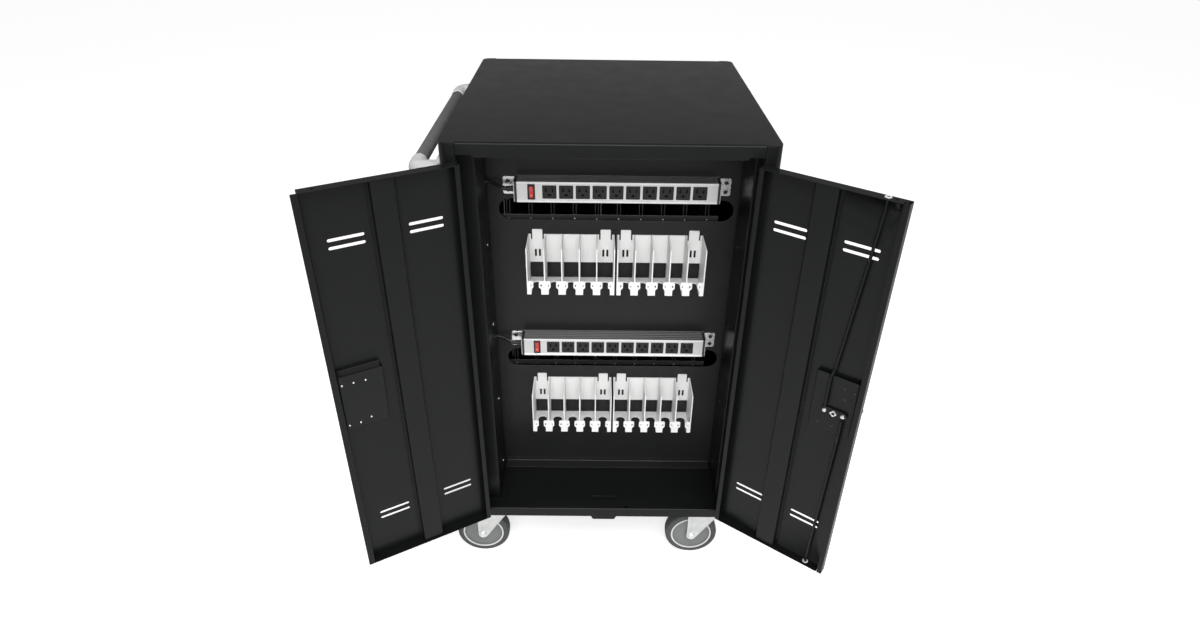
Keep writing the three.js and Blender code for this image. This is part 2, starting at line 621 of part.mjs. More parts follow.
// Moulded bar behind the face: a pad with three sockets for each outlet and a frame for the switch
function outletBank(z) {
  const face = STRIP_FRONT_Y - OUTLET_PROUD;
  const barY = STRIP_FRONT_Y + STRIP_WALL + OUTLET_CLEARANCE;
  const padY = [face, barY + JOIN_BITE];
  const pad = OUTLET_SIZE / 2 - OUTLET_CLEARANCE;
  const frameX = SWITCH_WIDTH / 2 - OUTLET_CLEARANCE;
  const frameZ = SWITCH_HEIGHT / 2 - OUTLET_CLEARANCE;
  const barX = [SWITCH_CENTRE - frameX, OUTLET_CENTRES[OUTLETS - 1] + pad];
  const socketY = [face - JOIN_BITE, face + SOCKET_DEPTH];
  const blade = (x, height) =>
    box(around(x, BLADE_WIDTH / 2), socketY, [z + BLADE_RISE, z + BLADE_RISE + height]);
  const sockets = OUTLET_CENTRES.flatMap((x) => [
    blade(x - BLADE_SPACING / 2, BLADE_HEIGHT),
    blade(x + BLADE_SPACING / 2, NARROW_BLADE_HEIGHT),
    rodAlongY(EARTH_RADIUS, x, z - EARTH_DROP, socketY, 8),
  ]);
  const well = box(around(SWITCH_CENTRE, frameX - SWITCH_FRAME),
    [face - JOIN_BITE, barY + OUTLET_BANK_DEPTH - SHEET], around(z, frameZ - SWITCH_FRAME));
  const bank = join([
    box(barX, [barY, barY + OUTLET_BANK_DEPTH], around(z, frameZ)),
    box(around(SWITCH_CENTRE, frameX), padY, around(z, frameZ)),
    ...OUTLET_CENTRES.map((x) => box(around(x, pad), padY, around(z, pad))),
  ]);
  return cut(bank, [...sockets, well]);
}

// Rocker with a shallow V front, made about its own pivot
function rocker() {
  const frame = OUTLET_CLEARANCE + SWITCH_FRAME;
  const half = SWITCH_HEIGHT / 2 - frame - ROCKER_END_CLEARANCE;
  const back = half - ROCKER_TAPER;
  const profile = outline([[0, 0], [-ROCKER_CROWN, half], [ROCKER_DEPTH, back], [ROCKER_DEPTH, -back],
    [-ROCKER_CROWN, -half]]);
  return runProfile(profile, around(0, SWITCH_WIDTH / 2 - frame - ROCKER_SIDE_CLEARANCE));
}

function addRocker(level) {
  const pivot = new THREE.Group();
  pivot.position.set(SWITCH_CENTRE, STRIP_FRONT_Y - OUTLET_PROUD, level.z + STRIP_RISE);
  pivot.rotation.x = THREE.MathUtils.degToRad(ROCKER_TILT_DEG);
  place(pivot, `${level.name}_rocker_switch`, rocker(), RED_PLASTIC);
  cart.add(pivot);
}

// End cap of a strip with an ear that is screwed to the partition
function stripEar(z, end, side) {
  const near = end + side * SEAT_GAP;
  const tip = near + side * EAR_LENGTH;
  const flangeY = [STRIP_REAR_Y - SHEET, STRIP_REAR_Y];
  const body = join([
    box([near, near + side * SHEET], [STRIP_FRONT_Y, STRIP_REAR_Y], around(z, STRIP_HEIGHT / 2)),
    box([near, tip], flangeY, around(z, EAR_HEIGHT / 2)),
  ]);
  const holes = around(z, EAR_HOLE_SPACING / 2).map((holeZ) => rodAlongY(
    EAR_HOLE_RADIUS, tip - side * EAR_HOLE_MARGIN, holeZ, [flangeY[0] - SHEET, flangeY[1] + SHEET], 8));
  return cut(body, holes);
}

// Lead from a strip's left end, round the back edge of the duct and down inside it to the inlet
function lead(z, drop, steps) {
  const start = STRIP_START_X - 2 * SEAT_GAP - SHEET;
  const bend = [[start, LEAD_Y, z], [start - 12, LEAD_Y, z], [start - 28, LEAD_Y + 3, z + 3],
    [start - 45, LEAD_Y + 9, z + 8]];
  const route = [...bend, ...drop].map((point) => new THREE.Vector3(...point));
  const section = new THREE.Shape(Array.from({ length: LEAD_SIDES }, (_, i) => {
    const angle = i * 2 * Math.PI / LEAD_SIDES;
    return new THREE.Vector2(LEAD_RADIUS * Math.cos(angle), LEAD_RADIUS * Math.sin(angle));
  }));
  return new THREE.ExtrudeGeometry(section, { steps, extrudePath: new THREE.CatmullRomCurve3(route) });
}

// Power inlet in the side of the cable duct

const inletOpening = () => box(around(-HALF_WIDTH, 2 * SHEET), around(INLET_Y, INLET_WIDTH / 2 + SEAT_GAP),
  around(INLET_Z, INLET_HEIGHT / 2 + SEAT_GAP));

function powerInlet() {
  const skin = -HALF_WIDTH - SEAT_GAP;
  const rim = skin - INLET_RIM_THICKNESS;
  const body = join([
    box([skin, skin + INLET_DEPTH], around(INLET_Y, INLET_WIDTH / 2), around(INLET_Z, INLET_HEIGHT / 2)),
    box([rim, skin], around(INLET_Y, INLET_WIDTH / 2 + INLET_RIM),
      around(INLET_Z, INLET_HEIGHT / 2 + INLET_RIM)),
  ]);
  const socket = box([rim - JOIN_BITE, rim + INLET_SOCKET_DEPTH], around(INLET_Y, INLET_SOCKET_WIDTH / 2),
    around(INLET_Z, INLET_SOCKET_HEIGHT / 2));
  return cut(body, [socket]);
}

// Adapter holders

// U-shaped cable notch in a holder's floor, open at the front
function floorNotch(x) {
  const radius = NOTCH_WIDTH / 2;
  const front = -HOLDER_DEPTH - HOLDER_WALL;
  const shape = new THREE.Shape();
  shape.moveTo(x - radius, front);
  shape.lineTo(x + radius, front);
  shape.absarc(x, NOTCH_DEPTH - radius - HOLDER_DEPTH, radius, 0, Math.PI, false);
  return raisePlan(shape, -2 * HOLDER_WALL, 3 * HOLDER_WALL);
}

// Lip that stands up at the front of a rib: a neck and a wider head, cut off at the holder's ends
function holderLug(middle) {
  const within = (x) => Math.min(Math.max(x, 0), HOLDER_WIDTH);
  const [left, right] = around(middle, LUG_WIDTH / 2).map(within);
  const [neckLeft, neckRight] = around(middle, LUG_NECK / 2).map(within);
  const lug = outline([[neckLeft, -HOLDER_WALL], [neckRight, -HOLDER_WALL], [neckRight, LUG_NECK_HEIGHT],
    [right, LUG_NECK_HEIGHT + right - neckRight], [right, LUG_HEIGHT], [left, LUG_HEIGHT],
    [left, LUG_NECK_HEIGHT + neckLeft - left], [neckLeft, LUG_NECK_HEIGHT]]);
  return thickenElevation(lug, -HOLDER_DEPTH, HOLDER_WALL);
}

// Back plate with a snap tab over its first and last bay
function holderBack() {
  const plateY = [-HOLDER_WALL, 0];
  const through = [-2 * HOLDER_WALL, HOLDER_WALL];
  const slitZ = [HOLDER_HEIGHT - HOLDER_SLIT_DEPTH, HOLDER_HEIGHT + HOLDER_WALL];
  const pairZ = [HOLDER_PAIR_RISE, HOLDER_PAIR_RISE + HOLDER_PAIR_HEIGHT];
  const tabEdge = HOLDER_TAB_WIDTH / 2;
  const firstTab = (HOLDER_BAY + HOLDER_WALL) / 2;
  const pieces = [box([0, HOLDER_WIDTH], plateY, [HOLDER_WINDOW, HOLDER_HEIGHT])];
  const slits = [];
  for (const x of [firstTab, HOLDER_WIDTH - firstTab]) {
    pieces.push(box(around(x, tabEdge), plateY, [HOLDER_WINDOW, HOLDER_HEIGHT + HOLDER_TAB_HEIGHT]));
    for (const side of [-1, 1]) {
      const edge = x + side * tabEdge;
      const pair = x + side * HOLDER_PAIR_SPACING / 2;
      slits.push(box([edge, edge + side * HOLDER_SLIT_WIDTH], through, slitZ));
      slits.push(box(around(pair, HOLDER_PAIR_WIDTH / 2), through, pairZ));
    }
  }
  return cut(join(pieces), slits);
}

// A holder in its own frame: back at y = 0, floor at z = 0, left end at x = 0
function adapterHolder() {
  const ribMiddles = Array.from({ length: HOLDER_BAYS + 1 }, (_, i) => HOLDER_WALL / 2 + i * HOLDER_BAY);
  const depth = [-HOLDER_DEPTH, 0];
  const floor = box([0, HOLDER_WIDTH], depth, [-HOLDER_WALL, 0]);
  const notches = ribMiddles.slice(1).map((x) => floorNotch(x - HOLDER_BAY / 2));
  return join([
    cut(floor, notches),
    holderBack(),
    ...ribMiddles.map((x) => box(around(x, HOLDER_WALL / 2), depth, [-HOLDER_WALL, HOLDER_HEIGHT])),
    ...ribMiddles.map(holderLug),
  ]);
}

function addHolders(level) {
  const starts = {
    left: STRIP_MIDDLE_X - HOLDER_GAP / 2 - HOLDER_WIDTH,
    right: STRIP_MIDDLE_X + HOLDER_GAP / 2,
  };
  for (const [name, x] of Object.entries(starts)) {
    const holder = adapterHolder().translate(x, PARTITION_Y - SEAT_GAP, level.z + HOLDER_RISE);
    place(cart, `${level.name}_${name}_adapter_holder`, holder, WHITE_PLASTIC);
  }
}

// Doors
// A door is made shut, about its own hinge line: x runs to the free edge (times way), y runs inwards.

const spindleHole = (way) => rodAlongY(SPINDLE_RADIUS + SPINDLE_CLEARANCE, way * SPINDLE_X, SPINDLE_Z,
  [FACE_Y - SHEET, INNER_FACE_Y + LOCK_BOX_TOP_DEPTH + SHEET], 12);

const doorMiddle = (end) => (DOOR_START + end) / 2;

function doorVents(way, end) {
  const reach = (end - DOOR_START) / 2 - VENT_SIDE_MARGIN - VENT_LENGTH / 2;
  const groups = [DOOR_LOW_Z + VENT_LOW_MARGIN, DOOR_HIGH_Z - VENT_HIGH_MARGIN];
  return groups.flatMap((group) => around(group, VENT_PITCH / 2)).flatMap((z) =>
    around(way * doorMiddle(end), reach).map((x) =>
      thickenElevation(stadium(x, z, VENT_LENGTH, VENT_HEIGHT), FACE_Y - SHEET, 3 * SHEET)));
}

const flangeHole = (radius, x, y, z) => rodAlongZ(radius, x, y, [z - 2 * SHEET, z + 2 * SHEET], 10);

// Strip along the free edge that reaches past it, towards the other door
function lapStrip(way, end, y) {
  const [root, tip] = [end - SHEET, end + DOOR_LAP].map((x) => way * x);
  const corner = tip - way * DOOR_LAP_CORNER;
  const strip = outline([[root, DOOR_LOW_Z], [corner, DOOR_LOW_Z], [tip, DOOR_LOW_Z + DOOR_LAP_CORNER],
    [tip, DOOR_HIGH_Z - DOOR_LAP_CORNER], [corner, DOOR_HIGH_Z], [root, DOOR_HIGH_Z]]);
  return thickenElevation(strip, y[0], y[1] - y[0]);
}

// Folded pan with a lip turned in along its hinge edge, and along its free edge unless that edge laps
function doorPan(way, end, lapped) {
  const x = [way * DOOR_START, way * end];
  const y = [FACE_Y, FACE_Y + DOOR_DEPTH];
  const z = [DOOR_LOW_Z, DOOR_HIGH_Z];
  const lipY = [y[1] - SHEET, y[1]];
  const pan = join([
    box(x, [FACE_Y, FACE_Y + SHEET], z),
    box([x[0], x[0] + way * SHEET], y, z),
    box([x[0], x[0] + way * DOOR_LIP], lipY, z),
    box([x[1] - way * SHEET, x[1]], y, z),
    lapped ? lapStrip(way, end, lipY) : box([x[1] - way * DOOR_LIP, x[1]], lipY, z),
    box(x, y, [z[0], z[0] + SHEET]),
    box(x, y, [z[1] - SHEET, z[1]]),
  ]);
  const holes = [DOOR_START + FLANGE_HOLE_MARGIN, end - FLANGE_HOLE_MARGIN].map((at) =>
    flangeHole(FLANGE_HOLE_RADIUS, way * at, FACE_Y + DOOR_DEPTH / 2, DOOR_HIGH_Z));
  const leaf = way * HINGE_LEAF_LENGTH;
  const knuckles = HINGE_LEVELS.flatMap((level) => knuckle(0, level + HINGE_END_PLAY, leaf));
  const onFace = knuckles.map((piece) => piece.translate(0, FACE_Y, 0));
  return join([cut(pan, [...doorVents(way, end), ...holes]), ...onFace]);
}

const lappedDoorPan = (way) => doorPan(way, DOOR_END, true);
const lockedDoorPan = (way) => cut(doorPan(way, LOCKED_DOOR_END, false), [spindleHole(way)]);

// Door pan with holes in its top and bottom flanges for the lock rods
const rodDoorPan = (way) => cut(lockedDoorPan(way), [
  flangeHole(ROD_RADIUS + ROD_CLEARANCE, way * UPPER_ROD_X, ROD_Y, DOOR_HIGH_Z),
  flangeHole(ROD_RADIUS + ROD_CLEARANCE, way * LOWER_ROD_X, ROD_Y, DOOR_LOW_Z),
]);

// Hat-shaped stiffener up a door
function stiffener(way, middle) {
  const half = STIFFENER_WIDTH / 2;
  const crown = STIFFENER_CROWN / 2;
  const shoulder = crown - SHEET;
  const foot = INNER_FACE_Y + SHEET;
  const top = INNER_FACE_Y + STIFFENER_DEPTH;
  const plan = outline([[-half, INNER_FACE_Y], [-shoulder, INNER_FACE_Y], [-shoulder, top - SHEET],
    [shoulder, top - SHEET], [shoulder, INNER_FACE_Y], [half, INNER_FACE_Y], [half, foot], [crown, foot],
    [crown, top], [-crown, top], [-crown, foot], [-half, foot]]);
  const end = SHEET + STIFFENER_END_GAP;
  const height = DOOR_HIGH_Z - DOOR_LOW_Z - 2 * end;
  return raisePlan(plan, DOOR_LOW_Z + end, height).translate(way * middle, 0, 0);
}

const lappedStiffener = (way) => stiffener(way, doorMiddle(DOOR_END));
const lockedStiffener = (way) => stiffener(way, doorMiddle(LOCKED_DOOR_END) - LOCKED_STIFFENER_SHIFT);

const LOCK_BOX_Z = [SPINDLE_Z - LOCK_BOX_DROP, SPINDLE_Z - LOCK_BOX_DROP + LOCK_BOX_HEIGHT];

// Cover on a door: it stands off at its open top and slopes in to its foot
function slopedCover(way, edge, topDepth, footDepth) {
  const [low, high] = LOCK_BOX_Z;
  const x = [way * edge, way * (edge - LOCK_BOX_WIDTH)];
  const inside = [x[0] - way * SHEET, x[1] + way * SHEET];
  const wedge = (back, lift, z0, z1) => outline([[INNER_FACE_Y + back, z0],
    [INNER_FACE_Y + footDepth + lift, z0], [INNER_FACE_Y + topDepth + lift, z1], [INNER_FACE_Y + back, z1]]);
  const outer = runProfile(wedge(0, 0, low, high), x);
  const hollow = runProfile(wedge(-SHEET, -SHEET, low + SHEET, high + SHEET), inside);
  return cut(outer, [hollow]);
}

// Shallow box behind the lock cam
const lockBox = (way) => cut(
  slopedCover(way, LOCKED_DOOR_END - LOCK_BOX_EDGE_MARGIN, LOCK_BOX_TOP_DEPTH, LOCK_BOX_FOOT_DEPTH),
  [spindleHole(way)]);

// Cover over the strike on the other door
const strikeCover = (way) =>
  slopedCover(way, DOOR_END - STRIKE_EDGE_MARGIN, STRIKE_TOP_DEPTH, STRIKE_FOOT_DEPTH);

// Lever outside a door on a spindle that passes through it
function lockHandle(way, innerEnd) {
  const x = way * SPINDLE_X;
  const roseY = [FACE_Y - SEAT_GAP - ROSE_THICKNESS, FACE_Y - SEAT_GAP];
  const leverY = roseY[0] - LEVER_STANDOFF;
  const lever = stadium(x + way * (LEVER_LENGTH - LEVER_WIDTH) / 2, SPINDLE_Z, LEVER_LENGTH, LEVER_WIDTH);
  return join([
    rodAlongY(ROSE_RADIUS, x, SPINDLE_Z, roseY, 20),
    rodAlongY(LEVER_NECK_RADIUS, x, SPINDLE_Z, [leverY, roseY[1] - JOIN_BITE], 12),
    thickenElevation(lever, leverY - LEVER_THICKNESS / 2, LEVER_THICKNESS),
    rodAlongY(SPINDLE_RADIUS, x, SPINDLE_Z, [roseY[1] - JOIN_BITE, innerEnd], 12),
  ]);
}

// Cam on the spindle's inner end, with a pin for each rod and a nut
function lockCam(way) {
  const plate = stadium(way * SPINDLE_X, SPINDLE_Z, 2 * CAM_ARM + CAM_WIDTH, CAM_WIDTH);
  const pinY = [CAM_Y + JOIN_BITE, CAM_Y + CAM_THICKNESS + CAM_PIN_HEIGHT];
  return join([
    thickenElevation(plate, CAM_Y, CAM_THICKNESS),
    ...around(way * SPINDLE_X, CAM_ARM).map((x) => rodAlongY(CAM_PIN_RADIUS, x, SPINDLE_Z, pinY, 12)),
    rodAlongY(CAM_NUT_RADIUS, way * SPINDLE_X, SPINDLE_Z, pinY, 6),
  ]);
}

// Straight bar from beside a cam pin to the end of the door
function lockRod(way, from, to) {
  const [start, end] = [from, to].map(([x, z]) => new THREE.Vector3(way * x, ROD_Y, z));
  const along = end.clone().sub(start);
  const up = new THREE.Vector3(0, 1, 0);
  const turn = new THREE.Quaternion().setFromUnitVectors(up, along.clone().normalize());
  return new THREE.CylinderGeometry(ROD_RADIUS, ROD_RADIUS, along.length(), 10)
    .applyQuaternion(turn).translate(...start.add(end).multiplyScalar(0.5).toArray());
}

// Latch tongue on the inner end of the front handle, upright while it is unlocked
function lockTongue(way, y) {
  const reach = SPINDLE_EDGE_MARGIN + DOOR_LIP;
  return thickenElevation(stadium(0, 0, reach + CAM_WIDTH, CAM_WIDTH), y, CAM_THICKNESS)
    .rotateY(-Math.PI / 2).translate(way * SPINDLE_X, 0, SPINDLE_Z + reach / 2);
}

function hingeGroup(way, openDeg) {
  const group = new THREE.Group();
  group.position.set(-way * HINGE_X, -HINGE_STANDOFF, 0);
  group.rotation.z = -way * THREE.MathUtils.degToRad(openDeg);
  return group;
}

function addRearDoors() {
  const left = hingeGroup(1, REAR_LEFT_OPEN_DEG);
  place(left, 'rear_left_door', lappedDoorPan(1), POWDER_COAT);
  place(left, 'rear_left_stiffener', lappedStiffener(1), POWDER_COAT);
  place(left, 'rear_strike_cover', strikeCover(1), POWDER_COAT);
  const right = hingeGroup(-1, REAR_RIGHT_OPEN_DEG);
  place(right, 'rear_right_door', rodDoorPan(-1), POWDER_COAT);
  place(right, 'rear_right_stiffener', lockedStiffener(-1), POWDER_COAT);
  place(right, 'rear_lock_box', lockBox(-1), POWDER_COAT);
  place(right, 'rear_lock_handle', lockHandle(-1, CAM_Y - SEAT_GAP), BLACK_PLASTIC);
  place(right, 'rear_lock_cam', lockCam(-1), POWDER_COAT);
  place(right, 'upper_lock_rod', lockRod(-1, [SPINDLE_X - CAM_ARM, SPINDLE_Z + ROD_PIN_GAP],
    [UPPER_ROD_X, DOOR_HIGH_Z - SHEET]), POWDER_COAT);
  place(right, 'lower_lock_rod', lockRod(-1, [SPINDLE_X + CAM_ARM, SPINDLE_Z - ROD_PIN_GAP],
    [LOWER_ROD_X, DOOR_LOW_Z + SHEET]), POWDER_COAT);
  cart.add(left, right);
}

function addFrontDoors() {
  const front = new THREE.Group();
  front.position.y = BODY_DEPTH;
  front.rotation.z = Math.PI;
  const left = hingeGroup(1, 0);
  place(left, 'front_left_door', lappedDoorPan(1), POWDER_COAT);
  place(left, 'front_left_stiffener', lappedStiffener(1), POWDER_COAT);
  const right = hingeGroup(-1, 0);
  const tongueY = FACE_Y + DOOR_DEPTH + SEAT_GAP;
  const handle = join([lockHandle(-1, tongueY + JOIN_BITE), lockTongue(-1, tongueY)]);
  place(right, 'front_right_door', lockedDoorPan(-1), POWDER_COAT);
  place(right, 'front_right_stiffener', lockedStiffener(-1), POWDER_COAT);
  place(right, 'front_lock_handle', handle, BLACK_PLASTIC);
  front.add(left, right);
  cart.add(front);
}

// Push handle on the left side

const HANDLE_X = -HALF_WIDTH - HANDLE_REACH;
const HANDLE_Z = TOP_Z - HANDLE_DROP;

function handleBracket(gripEnd, way) {
  const start = gripEnd + way * SEAT_GAP;
  const footY = start + way * BRACKET_LENGTH;
  const wall = -HALF_WIDTH - SEAT_GAP;
  const corner = new THREE.Vector3(HANDLE_X, footY, HANDLE_Z);
  const elbow = new THREE.CubicBezierCurve3(new THREE.Vector3(HANDLE_X, start, HANDLE_Z), corner, corner,
    new THREE.Vector3(wall - JOIN_BITE, footY, HANDLE_Z));
  const section = new THREE.Shape().absarc(0, 0, BRACKET_RADIUS, 0, 2 * Math.PI, false);
  return join([
    new THREE.ExtrudeGeometry(section,
      { steps: BRACKET_STEPS, extrudePath: elbow, curveSegments: BRACKET_ARC_STEPS }),
    box([wall - BRACKET_FOOT_THICKNESS, wall], around(footY, BRACKET_FOOT_WIDTH / 2),
      around(HANDLE_Z, BRACKET_FOOT_HEIGHT / 2)),
  ]);
}

function addPushHandle() {
  const grip = [GRIP_END_MARGIN, BODY_DEPTH - GRIP_END_MARGIN];
  place(cart, 'handle_grip', rodAlongY(GRIP_RADIUS, HANDLE_X, HANDLE_Z, grip, 20), GRIP_RUBBER);
  place(cart, 'rear_handle_bracket', handleBracket(grip[0], -1), GREY_PLASTIC);
  place(cart, 'front_handle_bracket', handleBracket(grip[1], 1), GREY_PLASTIC);
}

// Casters, each about its own swivel axis

function casterPlate() {
  return join([
    box(around(0, CASTER_PLATE_LENGTH / 2), around(0, CASTER_PLATE_WIDTH / 2), [PLATE_LOW_Z, PLATE_TOP_Z]),
    rodAlongZ(RACEWAY_RADIUS, 0, 0, [PLATE_LOW_Z - RACEWAY_HEIGHT, PLATE_LOW_Z + JOIN_BITE], 20),
  ]);
}

function forkLeg() {
  const rear = -CASTER_TRAIL - FORK_AXLE_MARGIN;
  const shape = new THREE.Shape();
  shape.moveTo(rear, FORK_TOP_Z);
  shape.absarc(-CASTER_TRAIL, WHEEL_RADIUS, FORK_AXLE_MARGIN, Math.PI, 1.8 * Math.PI, false);
  shape.lineTo(FORK_FRONT, FORK_TOP_Z - 2 * FORK_CROWN);
  shape.lineTo(FORK_FRONT, FORK_TOP_Z);
  return shape;
}

function casterFork() {
  const inner = WHEEL_WIDTH / 2 + FORK_WHEEL_GAP;
  const outer = inner + FORK_SHEET;
  const nut = outer + AXLE_NUT_THICKNESS;
  const nutY = [inner + JOIN_BITE, nut];
  return join([
    box([-CASTER_TRAIL - FORK_AXLE_MARGIN, FORK_FRONT], around(0, outer),
      [FORK_TOP_Z - FORK_CROWN, FORK_TOP_Z]),
    thickenElevation(forkLeg(), inner, FORK_SHEET),
    thickenElevation(forkLeg(), -outer, FORK_SHEET),
    rodAlongY(AXLE_RADIUS, -CASTER_TRAIL, WHEEL_RADIUS, around(0, outer), 12),
    rodAlongY(AXLE_NUT_RADIUS, -CASTER_TRAIL, WHEEL_RADIUS, nutY, 6),
    rodAlongY(AXLE_NUT_RADIUS, -CASTER_TRAIL, WHEEL_RADIUS, nutY.map((y) => -y), 6),
  ]);
}

function casterWheel() {
  const bore = AXLE_RADIUS + AXLE_CLEARANCE;
  const side = WHEEL_WIDTH / 2;
  const hub = side + FORK_WHEEL_GAP - HUB_SIDE_CLEARANCE;
  const half = [[bore, hub], [HUB_RADIUS, hub], [WEB_RADIUS, side - WEB_INSET], [RIM_RADIUS, side],
    [WHEEL_RADIUS - TREAD_CROWN, side], [WHEEL_RADIUS, side - TREAD_SHOULDER]];
  const lower = half.map(([radius, y]) => [radius, -y]);
  const ring = [...lower, ...half.reverse(), lower[0]];
  return new THREE.LatheGeometry(ring.map(([radius, y]) => new THREE.Vector2(radius, y)), WHEEL_STEPS)
    .translate(-CASTER_TRAIL, 0, WHEEL_RADIUS);
}

function addCasters() {
  const rearY = CASTER_END_INSET;
  const frontY = BODY_DEPTH - CASTER_END_INSET;
  const swivels = {
    rear_left: [-CASTER_X, rearY],
    rear_right: [CASTER_X, rearY],
    front_left: [CASTER_X, frontY],
    front_right: [-CASTER_X, frontY],
  };
  for (const [name, [x, y]] of Object.entries(swivels)) {
    const swivel = new THREE.Group();
    swivel.position.set(x, y, 0);
    place(swivel, `${name}_caster_plate`, casterPlate(), ZINC);
    place(swivel, `${name}_caster_fork`, casterFork(), ZINC);
    place(swivel, `${name}_caster_wheel`, casterWheel(), TYRE_RUBBER);
    cart.add(swivel);
  }
}

// Assembly

place(cart, 'top_panel', topPanel(), POWDER_COAT);
place(cart, 'left_side_panel', sidePanel(-1), POWDER_COAT);
place(cart, 'right_side_panel', sidePanel(1), POWDER_COAT);
place(cart, 'base_panel', basePanel(), POWDER_COAT);
place(cart, 'left_caster_rail', casterRail(-1), POWDER_COAT);
place(cart, 'right_caster_rail', casterRail(1), POWDER_COAT);
place(cart, 'middle_partition', middlePartition(), POWDER_COAT);
place(cart, 'left_cable_duct', liner(-1, DUCT_X, DUCT_FRONT_Y), POWDER_COAT);
place(cart, 'right_rail', liner(1, RAIL_X, RAIL_FRONT_Y), POWDER_COAT);
place(cart, 'upper_shelf', upperShelf(), POWDER_COAT);
place(cart, 'power_inlet', powerInlet(), BLACK_PLASTIC);
for (const level of LEVELS) {
  const z = level.z + STRIP_RISE;
  place(cart, `${level.name}_divider_rack`, dividerRack(level), POWDER_COAT);
  place(cart, `${level.name}_strip_housing`, stripHousing(z), ALUMINIUM);
  place(cart, `${level.name}_outlet_bank`, outletBank(z), BLACK_PLASTIC);
  place(cart, `${level.name}_left_strip_ear`, stripEar(z, STRIP_START_X, -1), ZINC);
  place(cart, `${level.name}_right_strip_ear`, stripEar(z, STRIP_END_X, 1), ZINC);
  const stripLead = lead(z, LEAD_DROPS[level.name], LEAD_STEPS[level.name]);
  place(cart, `${level.name}_strip_lead`, stripLead, BLACK_PLASTIC);
  addRocker(level);
  addHolders(level);
}
addPushHandle();
addRearDoors();
addFrontDoors();
addCasters();

// The origin is on the floor, at the middle of the box round the cart as it stands
const bounds = new THREE.Box3().setFromObject(cart, true);
cart.position.set(-(bounds.min.x + bounds.max.x) / 2, -(bounds.min.y + bounds.max.y) / 2, 0);

export default cart;
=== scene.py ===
# %% [markdown]
# # A laptop charging cart
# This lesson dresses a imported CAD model: a black sheet-steel cabinet on casters, with its rear doors open on
# two power strips and four adapter holders. The CAD model fixes every size and place, so it is loaded first
# and never moved. Each step then makes one kind of piece at those places, with the bends, rounded edges and
# surfaces that the plain solids leave out.

# %% Load the frame
import json
import math

import bmesh
import bpy
from mathutils import Matrix, Vector


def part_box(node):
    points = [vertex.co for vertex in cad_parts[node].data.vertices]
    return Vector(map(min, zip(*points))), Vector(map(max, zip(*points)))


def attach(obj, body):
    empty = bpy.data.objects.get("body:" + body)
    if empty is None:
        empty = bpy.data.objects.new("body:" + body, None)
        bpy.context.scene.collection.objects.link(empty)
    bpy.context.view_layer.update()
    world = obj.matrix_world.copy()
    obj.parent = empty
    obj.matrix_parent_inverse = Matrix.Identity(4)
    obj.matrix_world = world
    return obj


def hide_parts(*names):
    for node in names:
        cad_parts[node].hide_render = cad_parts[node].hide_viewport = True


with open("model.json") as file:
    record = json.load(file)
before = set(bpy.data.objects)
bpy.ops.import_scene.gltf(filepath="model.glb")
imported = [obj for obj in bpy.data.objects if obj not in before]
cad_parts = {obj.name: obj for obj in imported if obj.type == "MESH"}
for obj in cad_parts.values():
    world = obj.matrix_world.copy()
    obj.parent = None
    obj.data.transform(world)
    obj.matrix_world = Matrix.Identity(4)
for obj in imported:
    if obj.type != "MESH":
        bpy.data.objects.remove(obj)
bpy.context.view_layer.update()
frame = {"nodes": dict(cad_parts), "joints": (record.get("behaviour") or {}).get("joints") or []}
NODES = frame["nodes"]
JOINTS = {joint["name"]: joint for joint in frame["joints"]}
print("CAD nodes:", len(NODES), "joints:", len(JOINTS))

# %% [markdown]
# ## Working frames
# The cart is easiest to think of in millimetres, measured from the middle of the cabinet's rear face, with y
# running into the cabinet. A door is easiest in its own frame: from its hinge line, as if it were shut. Every
# piece is modelled in one of these frames, and a matrix then carries it to its place. `extents` reads a CAD
# node in such a frame, so the places below come from the model and not from the eye.

# %% Frames of the cabinet and its doors
MM = 0.001
X, Y, Z = range(3)
top_low, top_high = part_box("top_panel")
CABINET = Matrix.Translation(((top_low.x + top_high.x) / 2, top_low.y, 0))


def door_frame(joint_name, turn):
    x, y, _ = JOINTS[joint_name]["pos_m"]
    return Matrix.Translation((x, y, 0)) @ Matrix.Rotation(turn, 4, "Z")


def open_angle(joint_name):
    return math.radians(JOINTS[joint_name]["range_deg"][1])


DOORS = {
    "rear_left": (1, door_frame("rear_left_door_hinge", -open_angle("rear_left_door_hinge"))),
    "rear_right": (-1, door_frame("rear_right_door_hinge", open_angle("rear_right_door_hinge"))),
    "front_left": (1, door_frame("front_left_door_hinge", math.pi)),
    "front_right": (-1, door_frame("front_right_door_hinge", math.pi)),
}
STRIKE_DOOR, LOCK_DOOR = DOORS["rear_left"][1], DOORS["rear_right"][1]


def extents(node, place=CABINET):
    """Lowest and highest corner of a CAD node, in millimetres, in the frame of a place."""
    back = place.inverted()
    points = [back @ vertex.co for vertex in NODES[node].data.vertices]
    low = [min(point[axis] for point in points) / MM for axis in range(3)]
    high = [max(point[axis] for point in points) / MM for axis in range(3)]
    return low, high


def middle_of(box):
    """The point half-way between a box's lowest and highest corner."""
    return [(low + high) / 2 for low, high in zip(*box)]


top_box = extents("top_panel")
HALF_WIDTH = top_box[1][X]
DEPTH = top_box[1][Y]
TOP_Z = top_box[1][Z]
HEADER_Z = top_box[0][Z]
SHEET, GAP = 1.5, 0.3
print(f"cabinet {2 * HALF_WIDTH:.0f} x {DEPTH:.0f} mm, top at {TOP_Z:.0f} mm")

# %% [markdown]
# ## Camera
# The photograph looks down on the open rear doors from about head height, with a wide lens close to the cart.
# Its place and angles were solved from the cabinet's corners. A tiny roll is part of it: the picture isn't
# quite level. The camera's axes are written into its matrix, so no constraint is needed.

